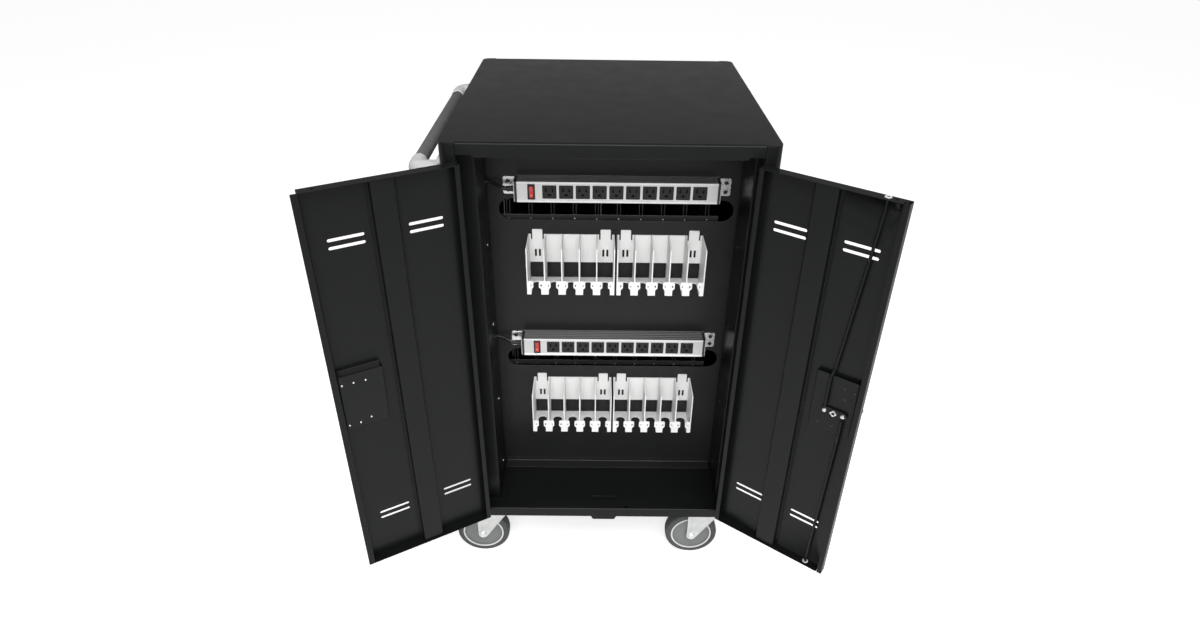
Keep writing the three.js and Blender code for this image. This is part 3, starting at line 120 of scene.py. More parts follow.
# %% Camera at the photograph's viewpoint
CAMERA_PLACE = Vector((-22.8, -1256.8, 1478.4))
CAMERA_PITCH, CAMERA_YAW, CAMERA_ROLL = (math.radians(angle) for angle in (31.5, 0.38, 0.78))
CAMERA_LENS = 22.605


def camera_axes(pitch, yaw, roll):
    level = math.cos(pitch)
    ahead = Vector((math.sin(yaw) * level, math.cos(yaw) * level, -math.sin(pitch)))
    right = ahead.cross(Vector((0, 0, 1))).normalized()
    up = right.cross(ahead)
    right = math.cos(roll) * right + math.sin(roll) * up
    return right, right.cross(ahead), -ahead


camera_data = bpy.data.cameras.new("camera")
camera_data.lens = CAMERA_LENS
camera = bpy.data.objects.new("camera", camera_data)
bpy.context.scene.collection.objects.link(camera)
camera.matrix_world = (Matrix.Translation(CABINET @ (CAMERA_PLACE * MM))
                       @ Matrix(camera_axes(CAMERA_PITCH, CAMERA_YAW, CAMERA_ROLL)).transposed().to_4x4())
bpy.context.scene.camera = camera
print("camera at", [round(value, 3) for value in camera.location])

# %% [markdown]
# ## Light and floor
# The object was photographed on white, under broad soft light. Two large area lamps do that: one overhead and
# a weaker one in front, behind the camera. The world gives a dim, even light, and the camera sees it white. A
# shiny surface sees a white backdrop that fades upwards into a darker studio, because black paint lives from
# what it reflects. The floor is a pale matt sheet that keeps a soft shadow.

# %% Soft studio light
AMBIENT = 0.40
STUDIO_DIM = 0.16
BACKDROP_EDGE = (0.02, 0.26)
# The place, target, size, power and spread of each lamp
LAMPS = {
    "top_lamp": ((300, -1300, 2900), (0, -200, 500), (2400, 1800), 54, 150),
    "front_lamp": ((-200, -2900, 1900), (0, 200, 600), (1600, 1200), 8.0, 70),
}


def any_of(tree, *kinds):
    """1 for rays of any of these kinds, else 0."""
    path = tree.nodes.new("ShaderNodeLightPath")
    total = path.outputs[kinds[0]]
    for kind in kinds[1:]:
        most = tree.nodes.new("ShaderNodeMath")
        most.operation = "MAXIMUM"
        tree.links.new(total, most.inputs[0])
        tree.links.new(path.outputs[kind], most.inputs[1])
        total = most.outputs["Value"]
    return total


def ramp(tree, value, bounds, low, high):
    """Maps a value from its bounds to low and high, which are numbers or sockets."""
    node = tree.nodes.new("ShaderNodeMapRange")
    node.inputs["From Min"].default_value, node.inputs["From Max"].default_value = bounds
    for name, end in (("To Min", low), ("To Max", high)):
        if isinstance(end, (int, float)):
            node.inputs[name].default_value = end
        else:
            tree.links.new(end, node.inputs[name])
    tree.links.new(value, node.inputs["Value"])
    return node.outputs["Result"]


def add_lamp(name, place, target, size, power, spread):
    lamp = bpy.data.lights.new(name, "AREA")
    lamp.shape = "RECTANGLE"
    lamp.size, lamp.size_y = (side * MM for side in size)
    lamp.energy = power
    lamp.spread = math.radians(spread)
    obj = bpy.data.objects.new(name, lamp)
    bpy.context.scene.collection.objects.link(obj)
    obj.location = CABINET @ (Vector(place) * MM)
    aim = Vector(target) - Vector(place)
    obj.rotation_mode = "QUATERNION"
    obj.rotation_quaternion = aim.to_track_quat("-Z", "Y")


world = bpy.data.worlds.new("studio")
bpy.context.scene.world = world
world.use_nodes = True
background = world.node_tree.nodes["Background"]
background.inputs["Color"].default_value = (1, 1, 1, 1)
sky = world.node_tree
direction = sky.nodes.new("ShaderNodeSeparateXYZ")
sky.links.new(sky.nodes.new("ShaderNodeTexCoord").outputs["Generated"], direction.inputs["Vector"])
backdrop = ramp(sky, direction.outputs["Z"], BACKDROP_EDGE, 1.0, STUDIO_DIM)
mirrored = ramp(sky, any_of(sky, "Is Glossy Ray", "Is Transmission Ray"), (0, 1), AMBIENT, backdrop)
strength = ramp(sky, any_of(sky, "Is Camera Ray"), (0, 1), mirrored, 1.0)
sky.links.new(strength, background.inputs["Strength"])
for name, settings in LAMPS.items():
    add_lamp(name, *settings)
bpy.context.scene.view_settings.view_transform = "Standard"
print("lamps:", len(LAMPS))

# %% Pale floor that keeps a shadow
FLOOR_REACH = 9.0
FLOOR_GLOW, MIRROR_GLOW = 0.6, 0.05


def floor_paper():
    paper = bpy.data.materials.new("floor_paper")
    paper.use_nodes = True
    tree = paper.node_tree
    shader = tree.nodes["Principled BSDF"]
    shader.inputs["Base Color"].default_value = (0.92, 0.92, 0.92, 1)
    shader.inputs["Roughness"].default_value = 1.0
    shader.inputs["Specular IOR Level"].default_value = 0.0
    shader.inputs["Emission Color"].default_value = (1, 1, 1, 1)
    mirrored = ramp(tree, any_of(tree, "Is Glossy Ray", "Is Transmission Ray"), (0, 1), 0.0, MIRROR_GLOW)
    glow = ramp(tree, any_of(tree, "Is Camera Ray"), (0, 1), mirrored, FLOOR_GLOW)
    tree.links.new(glow, shader.inputs["Emission Strength"])
    return paper


floor_mesh = bpy.data.meshes.new("studio_floor")
floor_sheet = bmesh.new()
bmesh.ops.create_grid(floor_sheet, x_segments=1, y_segments=1, size=FLOOR_REACH)
floor_sheet.to_mesh(floor_mesh)
floor_sheet.free()
floor_mesh.materials.append(floor_paper())
floor = bpy.data.objects.new("studio_floor", floor_mesh)
bpy.context.scene.collection.objects.link(floor)
print("floor reaches", FLOOR_REACH, "m")

# %% [markdown]
# ## Finishes
# Each finish is one Principled shader with three kinds of detail. A broad noise shifts its colour a little, a
# second one shifts its roughness, and a fine one gives it a grain through a bump. Stretching the noise along
# an axis turns the same recipe into brushed metal. The textures use object coordinates in metres, so the
# grain keeps its size on every piece.

# %% A recipe for finishes
NOISE_MIDDLE = (0.3, 0.7)


def noise(tree, scale, detail=2.0, stretch=None):
    coords = tree.nodes.new("ShaderNodeTexCoord")
    texture = tree.nodes.new("ShaderNodeTexNoise")
    texture.inputs["Scale"].default_value = scale
    texture.inputs["Detail"].default_value = detail
    source = coords.outputs["Object"]
    if stretch:
        mapping = tree.nodes.new("ShaderNodeMapping")
        mapping.inputs["Scale"].default_value = stretch
        tree.links.new(source, mapping.inputs["Vector"])
        source = mapping.outputs["Vector"]
    tree.links.new(source, texture.inputs["Vector"])
    return texture.outputs["Fac"]


def finish(name, dark, light, gloss, grain, mottle=9.0, metallic=0.0, stretch=None, specular=0.5):
    """A finish between two close colours and two roughnesses; grain is (scale, depth in millimetres)."""
    made = bpy.data.materials.new(name)
    made.use_nodes = True
    tree = made.node_tree
    shader = tree.nodes["Principled BSDF"]
    shader.inputs["Metallic"].default_value = metallic
    shader.inputs["Specular IOR Level"].default_value = specular
    blend = tree.nodes.new("ShaderNodeMix")
    blend.data_type = "RGBA"
    blend.inputs["A"].default_value = (*dark, 1)
    blend.inputs["B"].default_value = (*light, 1)
    mottled = ramp(tree, noise(tree, mottle, 4.0, stretch), NOISE_MIDDLE, 0, 1)
    tree.links.new(mottled, blend.inputs["Factor"])
    tree.links.new(blend.outputs["Result"], shader.inputs["Base Color"])
    worn = ramp(tree, noise(tree, 3 * mottle, 3.0, stretch), NOISE_MIDDLE, *gloss)
    tree.links.new(worn, shader.inputs["Roughness"])
    bump = tree.nodes.new("ShaderNodeBump")
    bump.inputs["Strength"].default_value = 1.0
    bump.inputs["Distance"].default_value = grain[1] * MM
    tree.links.new(noise(tree, grain[0], 2.0, stretch), bump.inputs["Height"])
    tree.links.new(bump.outputs["Normal"], shader.inputs["Normal"])
    return made


def grey(value):
    return (value, value, value)


# %% [markdown]
# ### Which finish goes where
# The cabinet is powder-coated: almost black, matt, with an orange-peel grain of about a millimetre. The
# partition has a slightly lighter copy of that coat, painted light for the light it catches, and the racks
# a lighter, glossier copy as a painted highlight. The strips are satin aluminium with a dark cover, the
# holders white moulded plastic, and the caster forks zinc plated, with the cloudy look that plating has. Foam,
# rubber and cable sheath run from dark grey to black.

# %% The cart's finishes
BRUSHED = (0.02, 1, 1)
POWDER_COAT = finish("powder_coat", (0.0046, 0.0050, 0.0053), (0.0052, 0.0056, 0.0059), (0.30, 0.35),
                     (900, 0.010), specular=0.20)
# A lighter copy of the powder coat: painted light on the partition and its foot
PAINTED_LIGHT_COAT = finish("inner_coat_painted_light", (0.0125, 0.0128, 0.0134), (0.0140, 0.0143, 0.0150), (0.32, 0.38),
                    (900, 0.010), specular=0.22)
# A lighter, glossier coat: a painted highlight on the racks seen through the slots and on the strike flange
PAINTED_HIGHLIGHT_COAT = finish("rack_coat_painted_highlight", grey(0.022), grey(0.027), (0.34, 0.42), (900, 0.02), specular=0.5)
SATIN_ALUMINIUM = finish("satin_aluminium", grey(0.60), grey(0.68), (0.30, 0.42), (700, 0.015), 14, 0.85,
                         BRUSHED)
# A brighter copy of the aluminium: a painted highlight on the strip lips
HIGHLIGHT_ALUMINIUM = finish("painted_highlight_aluminium", grey(0.74), grey(0.84), (0.26, 0.36), (700, 0.01), 14, 0.85,
                          BRUSHED)
DARK_COVER = finish("dark_strip_cover", grey(0.075), grey(0.090), (0.40, 0.52), (800, 0.02), 20, 0.2,
                    (0.05, 1, 1))
BLACK_MOULDING = finish("black_moulding", grey(0.011), grey(0.015), (0.42, 0.55), (1500, 0.02), 20)
SOCKET_BLACK = finish("socket_black", grey(0.010), grey(0.013), (0.40, 0.50), (1600, 0.015), 30, specular=0.3)
WHITE_MOULDING = finish("white_moulding", (0.74, 0.74, 0.735), (0.79, 0.79, 0.785), (0.40, 0.52),
                        (1100, 0.015), 12)
GREY_MOULDING = finish("grey_moulding", (0.47, 0.475, 0.47), (0.53, 0.535, 0.53), (0.42, 0.55),
                       (1200, 0.02), 15)
RED_ROCKER = finish("red_rocker", (0.44, 0.030, 0.028), (0.52, 0.040, 0.036), (0.18, 0.28), (900, 0.01), 30)
PALE_MARK = finish("pale_mark", (0.62, 0.34, 0.32), (0.68, 0.40, 0.38), (0.40, 0.50), (900, 0.01), 30)
ZINC_PLATE = finish("zinc_plate", (0.58, 0.59, 0.58), (0.72, 0.73, 0.72), (0.30, 0.46), (420, 0.03), 55, 0.75)
BRIGHT_ZINC = finish("bright_zinc", grey(0.72), grey(0.82), (0.20, 0.34), (700, 0.015), 80, 0.9)
DARK_SCREW = finish("blackened_screw", grey(0.020), grey(0.030), (0.30, 0.42), (900, 0.01), 60, 0.5)
TYRE_RUBBER = finish("tyre_rubber", (0.054, 0.056, 0.058), (0.068, 0.070, 0.072), (0.60, 0.75),
                     (600, 0.06), 25)
HUB_GREY = finish("hub_grey", (0.165, 0.170, 0.172), (0.190, 0.195, 0.197), (0.45, 0.58), (900, 0.02), 18)
# A pale grey for the ring at the rim: a painted highlight on the rim's edge
RIM_HIGHLIGHT_GREY = finish("rim_ring_painted_highlight", grey(0.66), grey(0.74), (0.40, 0.50), (900, 0.01), 20)
GRIP_FOAM = finish("grip_foam", (0.085, 0.085, 0.086), (0.105, 0.105, 0.106), (0.62, 0.78), (1300, 0.12), 40)
LEAD_SHEATH = finish("lead_sheath", grey(0.010), grey(0.014), (0.14, 0.20), (500, 0.01), 30, specular=0.7)
BRASS = finish("brass_contact", (0.55, 0.40, 0.16), (0.62, 0.47, 0.20), (0.25, 0.40), (900, 0.01), 60, 0.95)

# %% [markdown]
# ## Tools for shapes
# Most pieces of the cart are one of five shapes: a flat plate with holes, a folded sheet, a turned piece, a
# swept tube, or one solid cut by another. Each has a small function here that builds it with bmesh, in
# millimetres. Outlines carry a radius at each corner, so a bend in sheet steel is an arc and not a hard edge.

# %% Outlines with rounded corners
ARC_STEP = math.radians(12)
STRAIGHT = math.radians(89.5)


def corner_arc(before, corner, after, radius):
    """Points of the arc that rounds one corner of an outline."""
    back = (before - corner).normalized()
    on = (after - corner).normalized()
    half = back.angle(on) / 2
    if half > STRAIGHT:
        return [corner]
    shortest = min((before - corner).length, (after - corner).length)
    reach = min(radius / math.tan(half), 0.499 * shortest)
    centre = corner + (back + on).normalized() * (reach / math.cos(half))
    start = corner + back * reach - centre
    end = corner + on * reach - centre
    sweep_angle = math.atan2(start.x * end.y - start.y * end.x, start.dot(end))
    steps = max(2, round(abs(sweep_angle) / ARC_STEP))
    turns = [Matrix.Rotation(sweep_angle * step / steps, 2) for step in range(steps + 1)]
    return [centre + turn @ start for turn in turns]


def rounded(points, closed=True):
    """An outline from (a, b) or (a, b, radius) corners; a doubled corner counts once."""
    following = [*points[1:], points[0]]
    points = [point for point, after in zip(points, following) if math.dist(point[:2], after[:2]) > 1e-6]
    corners = [Vector(point[:2]) for point in points]
    radii = [point[2] if len(point) > 2 else 0.0 for point in points]
    count = len(corners)
    line = []
    for at, (corner, radius) in enumerate(zip(corners, radii)):
        inner = closed or 0 < at < count - 1
        if radius > 0 and inner:
            line += corner_arc(corners[at - 1], corner, corners[(at + 1) % count], radius)
        else:
            line.append(corner)
    return line


def rectangle(a, b, radius=0.0):
    return rounded([(a[0], b[0], radius), (a[1], b[0], radius), (a[1], b[1], radius), (a[0], b[1], radius)])


def circle(a, b, radius, sides=24):
    turns = [2 * math.pi * side / sides for side in range(sides)]
    return [Vector((a + radius * math.cos(turn), b + radius * math.sin(turn))) for turn in turns]


def stadium(a, b, length, height):
    return rectangle((a - length / 2, a + length / 2), (b - height / 2, b + height / 2), 0.499 * height)


def around(middle, half):
    return (middle - half, middle + half)


# %% Plates, folds, turned pieces and tubes
# An outline lies in a plan (x, y), an elevation (x, z) or a side view (y, z); its depth is the third way
PLAN = Matrix.Identity(4)
ELEVATION = Matrix(((1, 0, 0, 0), (0, 0, 1, 0), (0, 1, 0, 0), (0, 0, 0, 1)))
SIDE_VIEW = Matrix(((0, 0, 1, 0), (1, 0, 0, 0), (0, 1, 0, 0), (0, 0, 0, 1)))


def plate(outline, depth, view, holes=()):
    """A flat plate with holes, from depth[0] to depth[1]."""
    bm = bmesh.new()
    rings = [[bm.verts.new((a, b, depth[0])) for a, b in ring] for ring in (outline, *holes)]
    sides = [pair for ring in rings for pair in zip(ring, ring[1:] + ring[:1])]
    edges = [bm.edges.new(pair) for pair in sides]
    filled = bmesh.ops.triangle_fill(bm, use_beauty=True, edges=edges)
    faces = [item for item in filled["geom"] if isinstance(item, bmesh.types.BMFace)]
    above = {vert: bm.verts.new((vert.co.x, vert.co.y, depth[1])) for vert in bm.verts[:]}
    for face in faces:
        bm.faces.new([above[vert] for vert in reversed(face.verts)])
    for near, far in sides:
        bm.faces.new((near, far, above[far], above[near]))
    bm.transform(view)
    return bm


def offset(line, distance):
    """The line moved to its left by a distance."""
    normals = []
    for start, end in zip(line, line[1:]):
        ahead = (end - start).normalized()
        normals.append(Vector((-ahead.y, ahead.x)))
    before = [normals[0]] + normals
    after = normals + [normals[-1]]
    moved = []
    for point, first, second in zip(line, before, after):
        middle = (first + second).normalized()
        moved.append(point + middle * (distance / middle.dot(first)))
    return moved


def fold(points, wall, depth, view):
    """A folded sheet: an open line of (a, b, bend radius), given a wall to its left (negative: right)."""
    line = rounded(points, closed=False)
    return plate(line + offset(line, wall)[::-1], depth, view)


def turned(profile, view=PLAN, sides=32, closed=False):
    """A turned piece from (radius, height) points; a closed profile makes a ring."""
    bm = bmesh.new()
    turns = [2 * math.pi * side / sides for side in range(sides)]
    rings = []
    for radius, height in profile:
        if radius < 1e-6:
            rings.append([bm.verts.new((0, 0, height))])
        else:
            rings.append([bm.verts.new((radius * math.cos(t), radius * math.sin(t), height)) for t in turns])
    pairs = list(zip(rings, rings[1:]))
    if closed:
        pairs.append((rings[-1], rings[0]))
    for lower, upper in pairs:
        for side in range(sides):
            near, far = side, (side + 1) % sides
            corners = [lower[near % len(lower)], lower[far % len(lower)],
                       upper[far % len(upper)], upper[near % len(upper)]]
            bm.faces.new(list(dict.fromkeys(corners)))
    bm.transform(view)
    return bm


def smooth_path(points, steps=6):
    """Points on a smooth curve through a list of places."""
    places = [Vector(point) for point in points]
    ends = [2 * places[0] - places[1], *places, 2 * places[-1] - places[-2]]
    path = []
    for a, b, c, d in zip(ends, ends[1:], ends[2:], ends[3:]):
        for step in range(steps):
            t = step / steps
            path.append(0.5 * (2 * b + (c - a) * t + (2 * a - 5 * b + 4 * c - d) * t ** 2
                               + (3 * b - a - 3 * c + d) * t ** 3))
    return path + [places[-1]]


def tube(path, radii, sides=16):
    """A capped tube along a path, with one radius or a radius at each point."""
    bm = bmesh.new()
    count = len(path)
    if not isinstance(radii, (list, tuple)):
        radii = [radii] * count
    ahead = [(path[min(i + 1, count - 1)] - path[max(i - 1, 0)]).normalized() for i in range(count)]
    side = ahead[0].orthogonal().normalized()
    rings = []
    for place, way, radius in zip(path, ahead, radii):
        side = (side - way * side.dot(way)).normalized()
        other = way.cross(side)
        turns = [2 * math.pi * step / sides for step in range(sides)]
        rim = [place + radius * (math.cos(t) * side + math.sin(t) * other) for t in turns]
        rings.append([bm.verts.new(point) for point in rim])
    for lower, upper in zip(rings, rings[1:]):
        for step in range(sides):
            after = (step + 1) % sides
            bm.faces.new((lower[step], lower[after], upper[after], upper[step]))
    bm.faces.new(rings[0])
    bm.faces.new(rings[-1])
    return bm


# %% Joining, cutting and finishing a piece


def moved(bm, x=0.0, y=0.0, z=0.0):
    bm.transform(Matrix.Translation((x, y, z)))
    return bm


def merge(parts):
    """Several solids in one mesh, side by side."""
    whole = bmesh.new()
    for part in parts:
        bmesh.ops.recalc_face_normals(part, faces=part.faces)
        mesh = bpy.data.meshes.new("part")
        part.to_mesh(mesh)
        part.free()
        whole.from_mesh(mesh)
        bpy.data.meshes.remove(mesh)
    return whole


def scratch_object(bm):
    bmesh.ops.recalc_face_normals(bm, faces=bm.faces)
    mesh = bpy.data.meshes.new("scratch")
    bm.to_mesh(mesh)
    bm.free()
    obj = bpy.data.objects.new("scratch", mesh)
    bpy.context.scene.collection.objects.link(obj)
    return obj


def evaluated(obj):
    """The object's mesh with its modifiers, as a bmesh; the object is removed."""
    graph = bpy.context.evaluated_depsgraph_get()
    mesh = bpy.data.meshes.new_from_object(obj.evaluated_get(graph))
    result = bmesh.new()
    result.from_mesh(mesh)
    for done in (mesh, obj.data):
        bpy.data.meshes.remove(done)
    return result


def combine(body, tools, operation):
    """One solid after a boolean with others: DIFFERENCE, UNION or INTERSECT."""
    whole = scratch_object(body)
    tool = scratch_object(merge(tools))
    boolean = whole.modifiers.new("boolean", "BOOLEAN")
    boolean.operation = operation
    boolean.solver = "EXACT"
    boolean.use_self = True
    boolean.object = tool
    result = evaluated(whole)
    bpy.data.meshes.remove(tool.data)
    bmesh.ops.dissolve_limit(result, angle_limit=0.001, verts=result.verts, edges=result.edges)
    return result


def cut(body, tools):
    return combine(body, tools, "DIFFERENCE")


def fuse(parts):
    return combine(parts[0], parts[1:], "UNION")


SHARP = math.radians(32)
EDGE_SEGMENTS = 2


def soften(obj, width):
    """Rounds the sharp edges of an object and keeps its flat faces flat."""
    bevel = obj.modifiers.new("soft_edges", "BEVEL")
    bevel.width = width * MM
    bevel.segments = EDGE_SEGMENTS
    bevel.limit_method = "ANGLE"
    bevel.angle_limit = SHARP
    bevel.miter_outer = "MITER_ARC"
    normals = obj.modifiers.new("flat_faces", "WEIGHTED_NORMAL")
    normals.keep_sharp = True


def set_up(name, mesh, body, place, stands_for, edge):
    """An object for a mesh, in its place, riding on a body."""
    obj = bpy.data.objects.new(name, mesh)
    bpy.context.scene.collection.objects.link(obj)
    obj.matrix_world = place
    if edge:
        soften(obj, edge)
    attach(obj, body)
    if stands_for:
        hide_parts(*stands_for)


def to_mesh(name, bm, finish_used):
    bmesh.ops.recalc_face_normals(bm, faces=bm.faces)
    bm.transform(Matrix.Scale(MM, 4))
    mesh = bpy.data.meshes.new(name)
    bm.to_mesh(mesh)
    bm.free()
    mesh.materials.append(finish_used)
    mesh.shade_smooth()
    mesh.set_sharp_from_angle(angle=SHARP)
    return mesh


def piece(name, bm, finish_used, body="cabinet", place=CABINET, stands_for=(), edge=0.0):
    """A finished piece in its place: it rides on a body and may stand for CAD nodes."""
    set_up(name, to_mesh(name, bm, finish_used), body, place, stands_for, edge)


# %% [markdown]
# ### Fasteners
# Rivets, screws and bolts are small, but they catch the light and show how the sheets are held. A rivet is a
# turned dome. A screw has a cross cut into its dome. A bolt is a six-sided turned piece with a chamfer. They
# are made once as functions, and a loop sets them down wherever a sheet is fastened.

# %% Rivets, screws and bolts
DOME_SIDES = 20


def dome(radius, height, view):
    rim = 0.35 * height
    profile = [(0, 0), (radius, 0), (radius, rim), (0.86 * radius, 0.72 * height),
               (0.5 * radius, 0.94 * height), (0, height)]
    return turned(profile, view, DOME_SIDES)


def cross_screw(radius, height, view):
    """A pan-head screw with a cross recess."""
    arm = 0.16 * radius
    reach = 0.62 * radius
    depth = (0.45 * height, 1.5 * height)
    slots = [plate(rectangle(around(0, a), around(0, b)), depth, view)
             for a, b in ((arm, reach), (reach, arm))]
    return cut(dome(radius, height, view), slots)


def hexagon(radius, height, view, start=0.0):
    """A bolt head or nut with a chamfered rim."""
    chamfer = 0.14 * height
    profile = [(0, start), (radius, start), (radius, start + height - chamfer)]
    return turned(profile + [(0.86 * radius, start + height), (0, start + height)], view, 6)


# Views for fasteners that face the rear (-y), the cabinet's inside (+y), a side or the floor
TO_REAR = ELEVATION @ Matrix.Scale(-1, 4, (0, 0, 1))
TO_FRONT = ELEVATION
TO_LEFT = SIDE_VIEW @ Matrix.Scale(-1, 4, (0, 0, 1))
TO_RIGHT = SIDE_VIEW
DOWN = Matrix.Scale(-1, 4, (0, 0, 1))
print("tools ready")

# %% [markdown]
# ## Leads of the power strips
# Each strip's mains lead leaves its left end through a tapered strain relief, bends round the back edge of
# the duct and drops inside it to the inlet, where a second strain relief takes it in. The object holds it all
# the way. The route is the list of places that the CAD model uses, smoothed into one curve and swept.

# %% Two strip leads with their strain reliefs
LEAD_RADIUS = 3.5
LEAD_Y = 143
BOOT_LENGTH, BOOT_RIBS = 24, 5
BOOT_WALL, BOOT_TAPER, BOOT_GROOVE = 3.2, 2.4, 0.7
strips = {level: extents(f"{level}_strip_housing") for level in ("lower", "upper")}
inlet_top = extents("power_inlet")[1][Z]
LEAD_END_Z = inlet_top + GAP
LEAD_DROPS = {
    "upper": [(-248, 153, 922), (-264, 146, 912), (-274, 134, 888), (-278, 124, 850), (-279, 118, 760),
              (-279, 115, 640), (-279, 112, 520), (-279, 110, 400), (-279, 110, 320),
              (-279, 110, LEAD_END_Z)],
    "lower": [(-248, 153, 556), (-261, 147, 548), (-266, 134, 528), (-265, 120, 498), (-264, 106, 450),
              (-263, 98, 390), (-263, 96, 330), (-263, 96, LEAD_END_Z)],
}


def strain_relief(start, way):
    """A tapered boot with ribs, from a wall along a way."""
    places, radii = [], []
    for step in range(4 * BOOT_RIBS + 1):
        share = step / (4 * BOOT_RIBS)
        groove = BOOT_GROOVE if step % 4 in (1, 2) else 0.0
        places.append(start + way * (BOOT_LENGTH * share))
        radii.append(LEAD_RADIUS + BOOT_WALL - BOOT_TAPER * share - groove)
    return tube(places, radii, 20)


for level, drop in LEAD_DROPS.items():
    z = middle_of(strips[level])[Z]
    start = strips[level][0][X] - 2 * GAP - SHEET
    bend = [(start, LEAD_Y, z), (start - 12, LEAD_Y, z), (start - 28, LEAD_Y + 3, z + 3),
            (start - 45, LEAD_Y + 9, z + 8)]
    path = smooth_path(bend + drop)
    length = sum((b - a).length for a, b in zip(path, path[1:]))
    piece(f"{level}_lead", tube(path, LEAD_RADIUS), LEAD_SHEATH, stands_for=[f"{level}_strip_lead"])
    boots = [strain_relief(path[0], Vector((-1, 0, 0))), strain_relief(path[-1], Vector((0, 0, 1)))]
    piece(f"{level}_lead_boots", merge(boots), BLACK_MOULDING)
    print(f"{level} lead is {length:.0f} mm long")

# %% [markdown]
# ## Cabinet shell
# The shell is folded sheet. A real folder leaves a small radius on every bend, and that radius is what draws
# the light lines along the cabinet's edges, so the sheets are modelled as folds. The side panels run round
# two large-radius posts. The headers are let into the top with a narrow seam, as the photograph shows.

# %% Top and headers
POST_WIDTH = 30
POST_RADIUS = 20
SEAM = 1.6
HEADER_BEND = 3.4
HEADER_FLAT = 5.0
HEADER_LIP = 24
HEADER_NOTCH = (28, 5)
opening_half = HALF_WIDTH - POST_WIDTH
ROD_BORE, ROD_SET_BACK = 4.5, 6
UPPER_ROD_X, LOWER_ROD_X = 219, 217
ROD_CUP = 22
ROD_Y = middle_of(extents("upper_lock_rod", LOCK_DOOR))[Y]
ROD_BACK_Y = ROD_Y - ROD_SET_BACK
lock_hinge = CABINET.inverted() @ Vector(JOINTS["rear_right_door_hinge"]["pos_m"]) / MM


def rod_bore(sheet, from_hinge, z, way):
    """A level sheet with a closed guide tube, which takes a lock rod when the door is shut."""
    x, y = lock_hinge.x - from_hinge, lock_hinge.y + ROD_BACK_Y
    wall = ROD_BORE + 1.2
    guide = [(0, ROD_CUP), (wall, ROD_CUP), (wall, SHEET), (ROD_BORE, SHEET), (ROD_BORE, ROD_CUP - 1),
             (0, ROD_CUP - 1)]
    tube_closed = turned(guide, PLAN if way > 0 else DOWN, 16)
    bored = cut(sheet, [plate(circle(x, y, ROD_BORE, 16), around(z, 4), PLAN)])
    return merge([bored, moved(tube_closed, x, y, z)])


def top_outline():
    recess = HEADER_FLAT + SEAM
    edge = opening_half
    corners = []
    for near, far, sign in ((0, recess, 1), (DEPTH, DEPTH - recess, -1)):
        corners += [(-sign * HALF_WIDTH, near, POST_RADIUS), (-sign * edge, near, 1), (-sign * edge, far, 1),
                    (sign * edge, far, 1), (sign * edge, near, 1), (sign * HALF_WIDTH, near, POST_RADIUS)]
    return rounded(corners)


def header(face, inward):
    """A header whose face is at y = face; its foot is notched at both ends."""
    half = opening_half - GAP
    top = TOP_Z - 0.2
    line = [(face + inward * HEADER_FLAT, top), (face, top, HEADER_BEND), (face, HEADER_Z, 2),
            (face + inward * HEADER_LIP, HEADER_Z)]
    notch_y = sorted((face - inward, face + inward * (HEADER_LIP + 1)))
    notch_z = (HEADER_Z - 1, HEADER_Z + HEADER_NOTCH[1])
    notches = [plate(rectangle(around(end, HEADER_NOTCH[0]), notch_y), notch_z, PLAN)
               for end in (-half, half)]
    return cut(fold(line, SHEET * inward, around(0, half), SIDE_VIEW), notches)


piece("top_sheet", plate(top_outline(), (TOP_Z - SHEET, TOP_Z), PLAN), POWDER_COAT,
      stands_for=["top_panel"], edge=0.7)
rear_header = rod_bore(header(0, 1), UPPER_ROD_X, HEADER_Z, 1)
piece("rear_header", rear_header, POWDER_COAT, edge=0.4)
piece("front_header", header(DEPTH, -1), POWDER_COAT, edge=0.4)
print("top sheet and two headers")

# %% Side panels with rounded posts
JAMB_DEPTH = 28
side_box = extents("left_side_panel")
inlet_box = extents("power_inlet")


def side_sheet(side):
    jamb, wall = side * opening_half, side * HALF_WIDTH
    line = [(jamb, JAMB_DEPTH), (jamb, 0, 2), (wall, 0, POST_RADIUS), (wall, DEPTH, POST_RADIUS),
            (jamb, DEPTH, 2), (jamb, DEPTH - JAMB_DEPTH)]
    return fold(line, side * SHEET, (side_box[0][Z], side_box[1][Z]), PLAN)


INLET_RIM = 5.3


def inlet_outline(inset, radius=0.0):
    """The inlet's outline in a side view, drawn in by an inset."""
    low, high = inlet_box
    return rectangle((low[Y] + inset, high[Y] - inset), (low[Z] + inset, high[Z] - inset), radius)


inlet_hole = plate(inlet_outline(INLET_RIM), around(-HALF_WIDTH, 3), SIDE_VIEW)
piece("left_side_sheet", cut(side_sheet(-1), [inlet_hole]), POWDER_COAT,
      stands_for=["left_side_panel"], edge=0.4)
piece("right_side_sheet", side_sheet(1), POWDER_COAT, stands_for=["right_side_panel"], edge=0.4)
print("two side panels, corner posts of", POST_RADIUS, "mm radius")

# %% Base with its sills, tabs and catch
base_low, base_high = extents("base_panel")
FLOOR_Z = extents("lower_divider_rack")[0][Z] - GAP
SILL_Z = extents("left_caster_rail")[0][Z]
TAB_HALF, TAB_CHAMFER = 30, 5
CATCH_Y, CATCH_DEPTH, CATCH_HEIGHT = 34, 15, 9


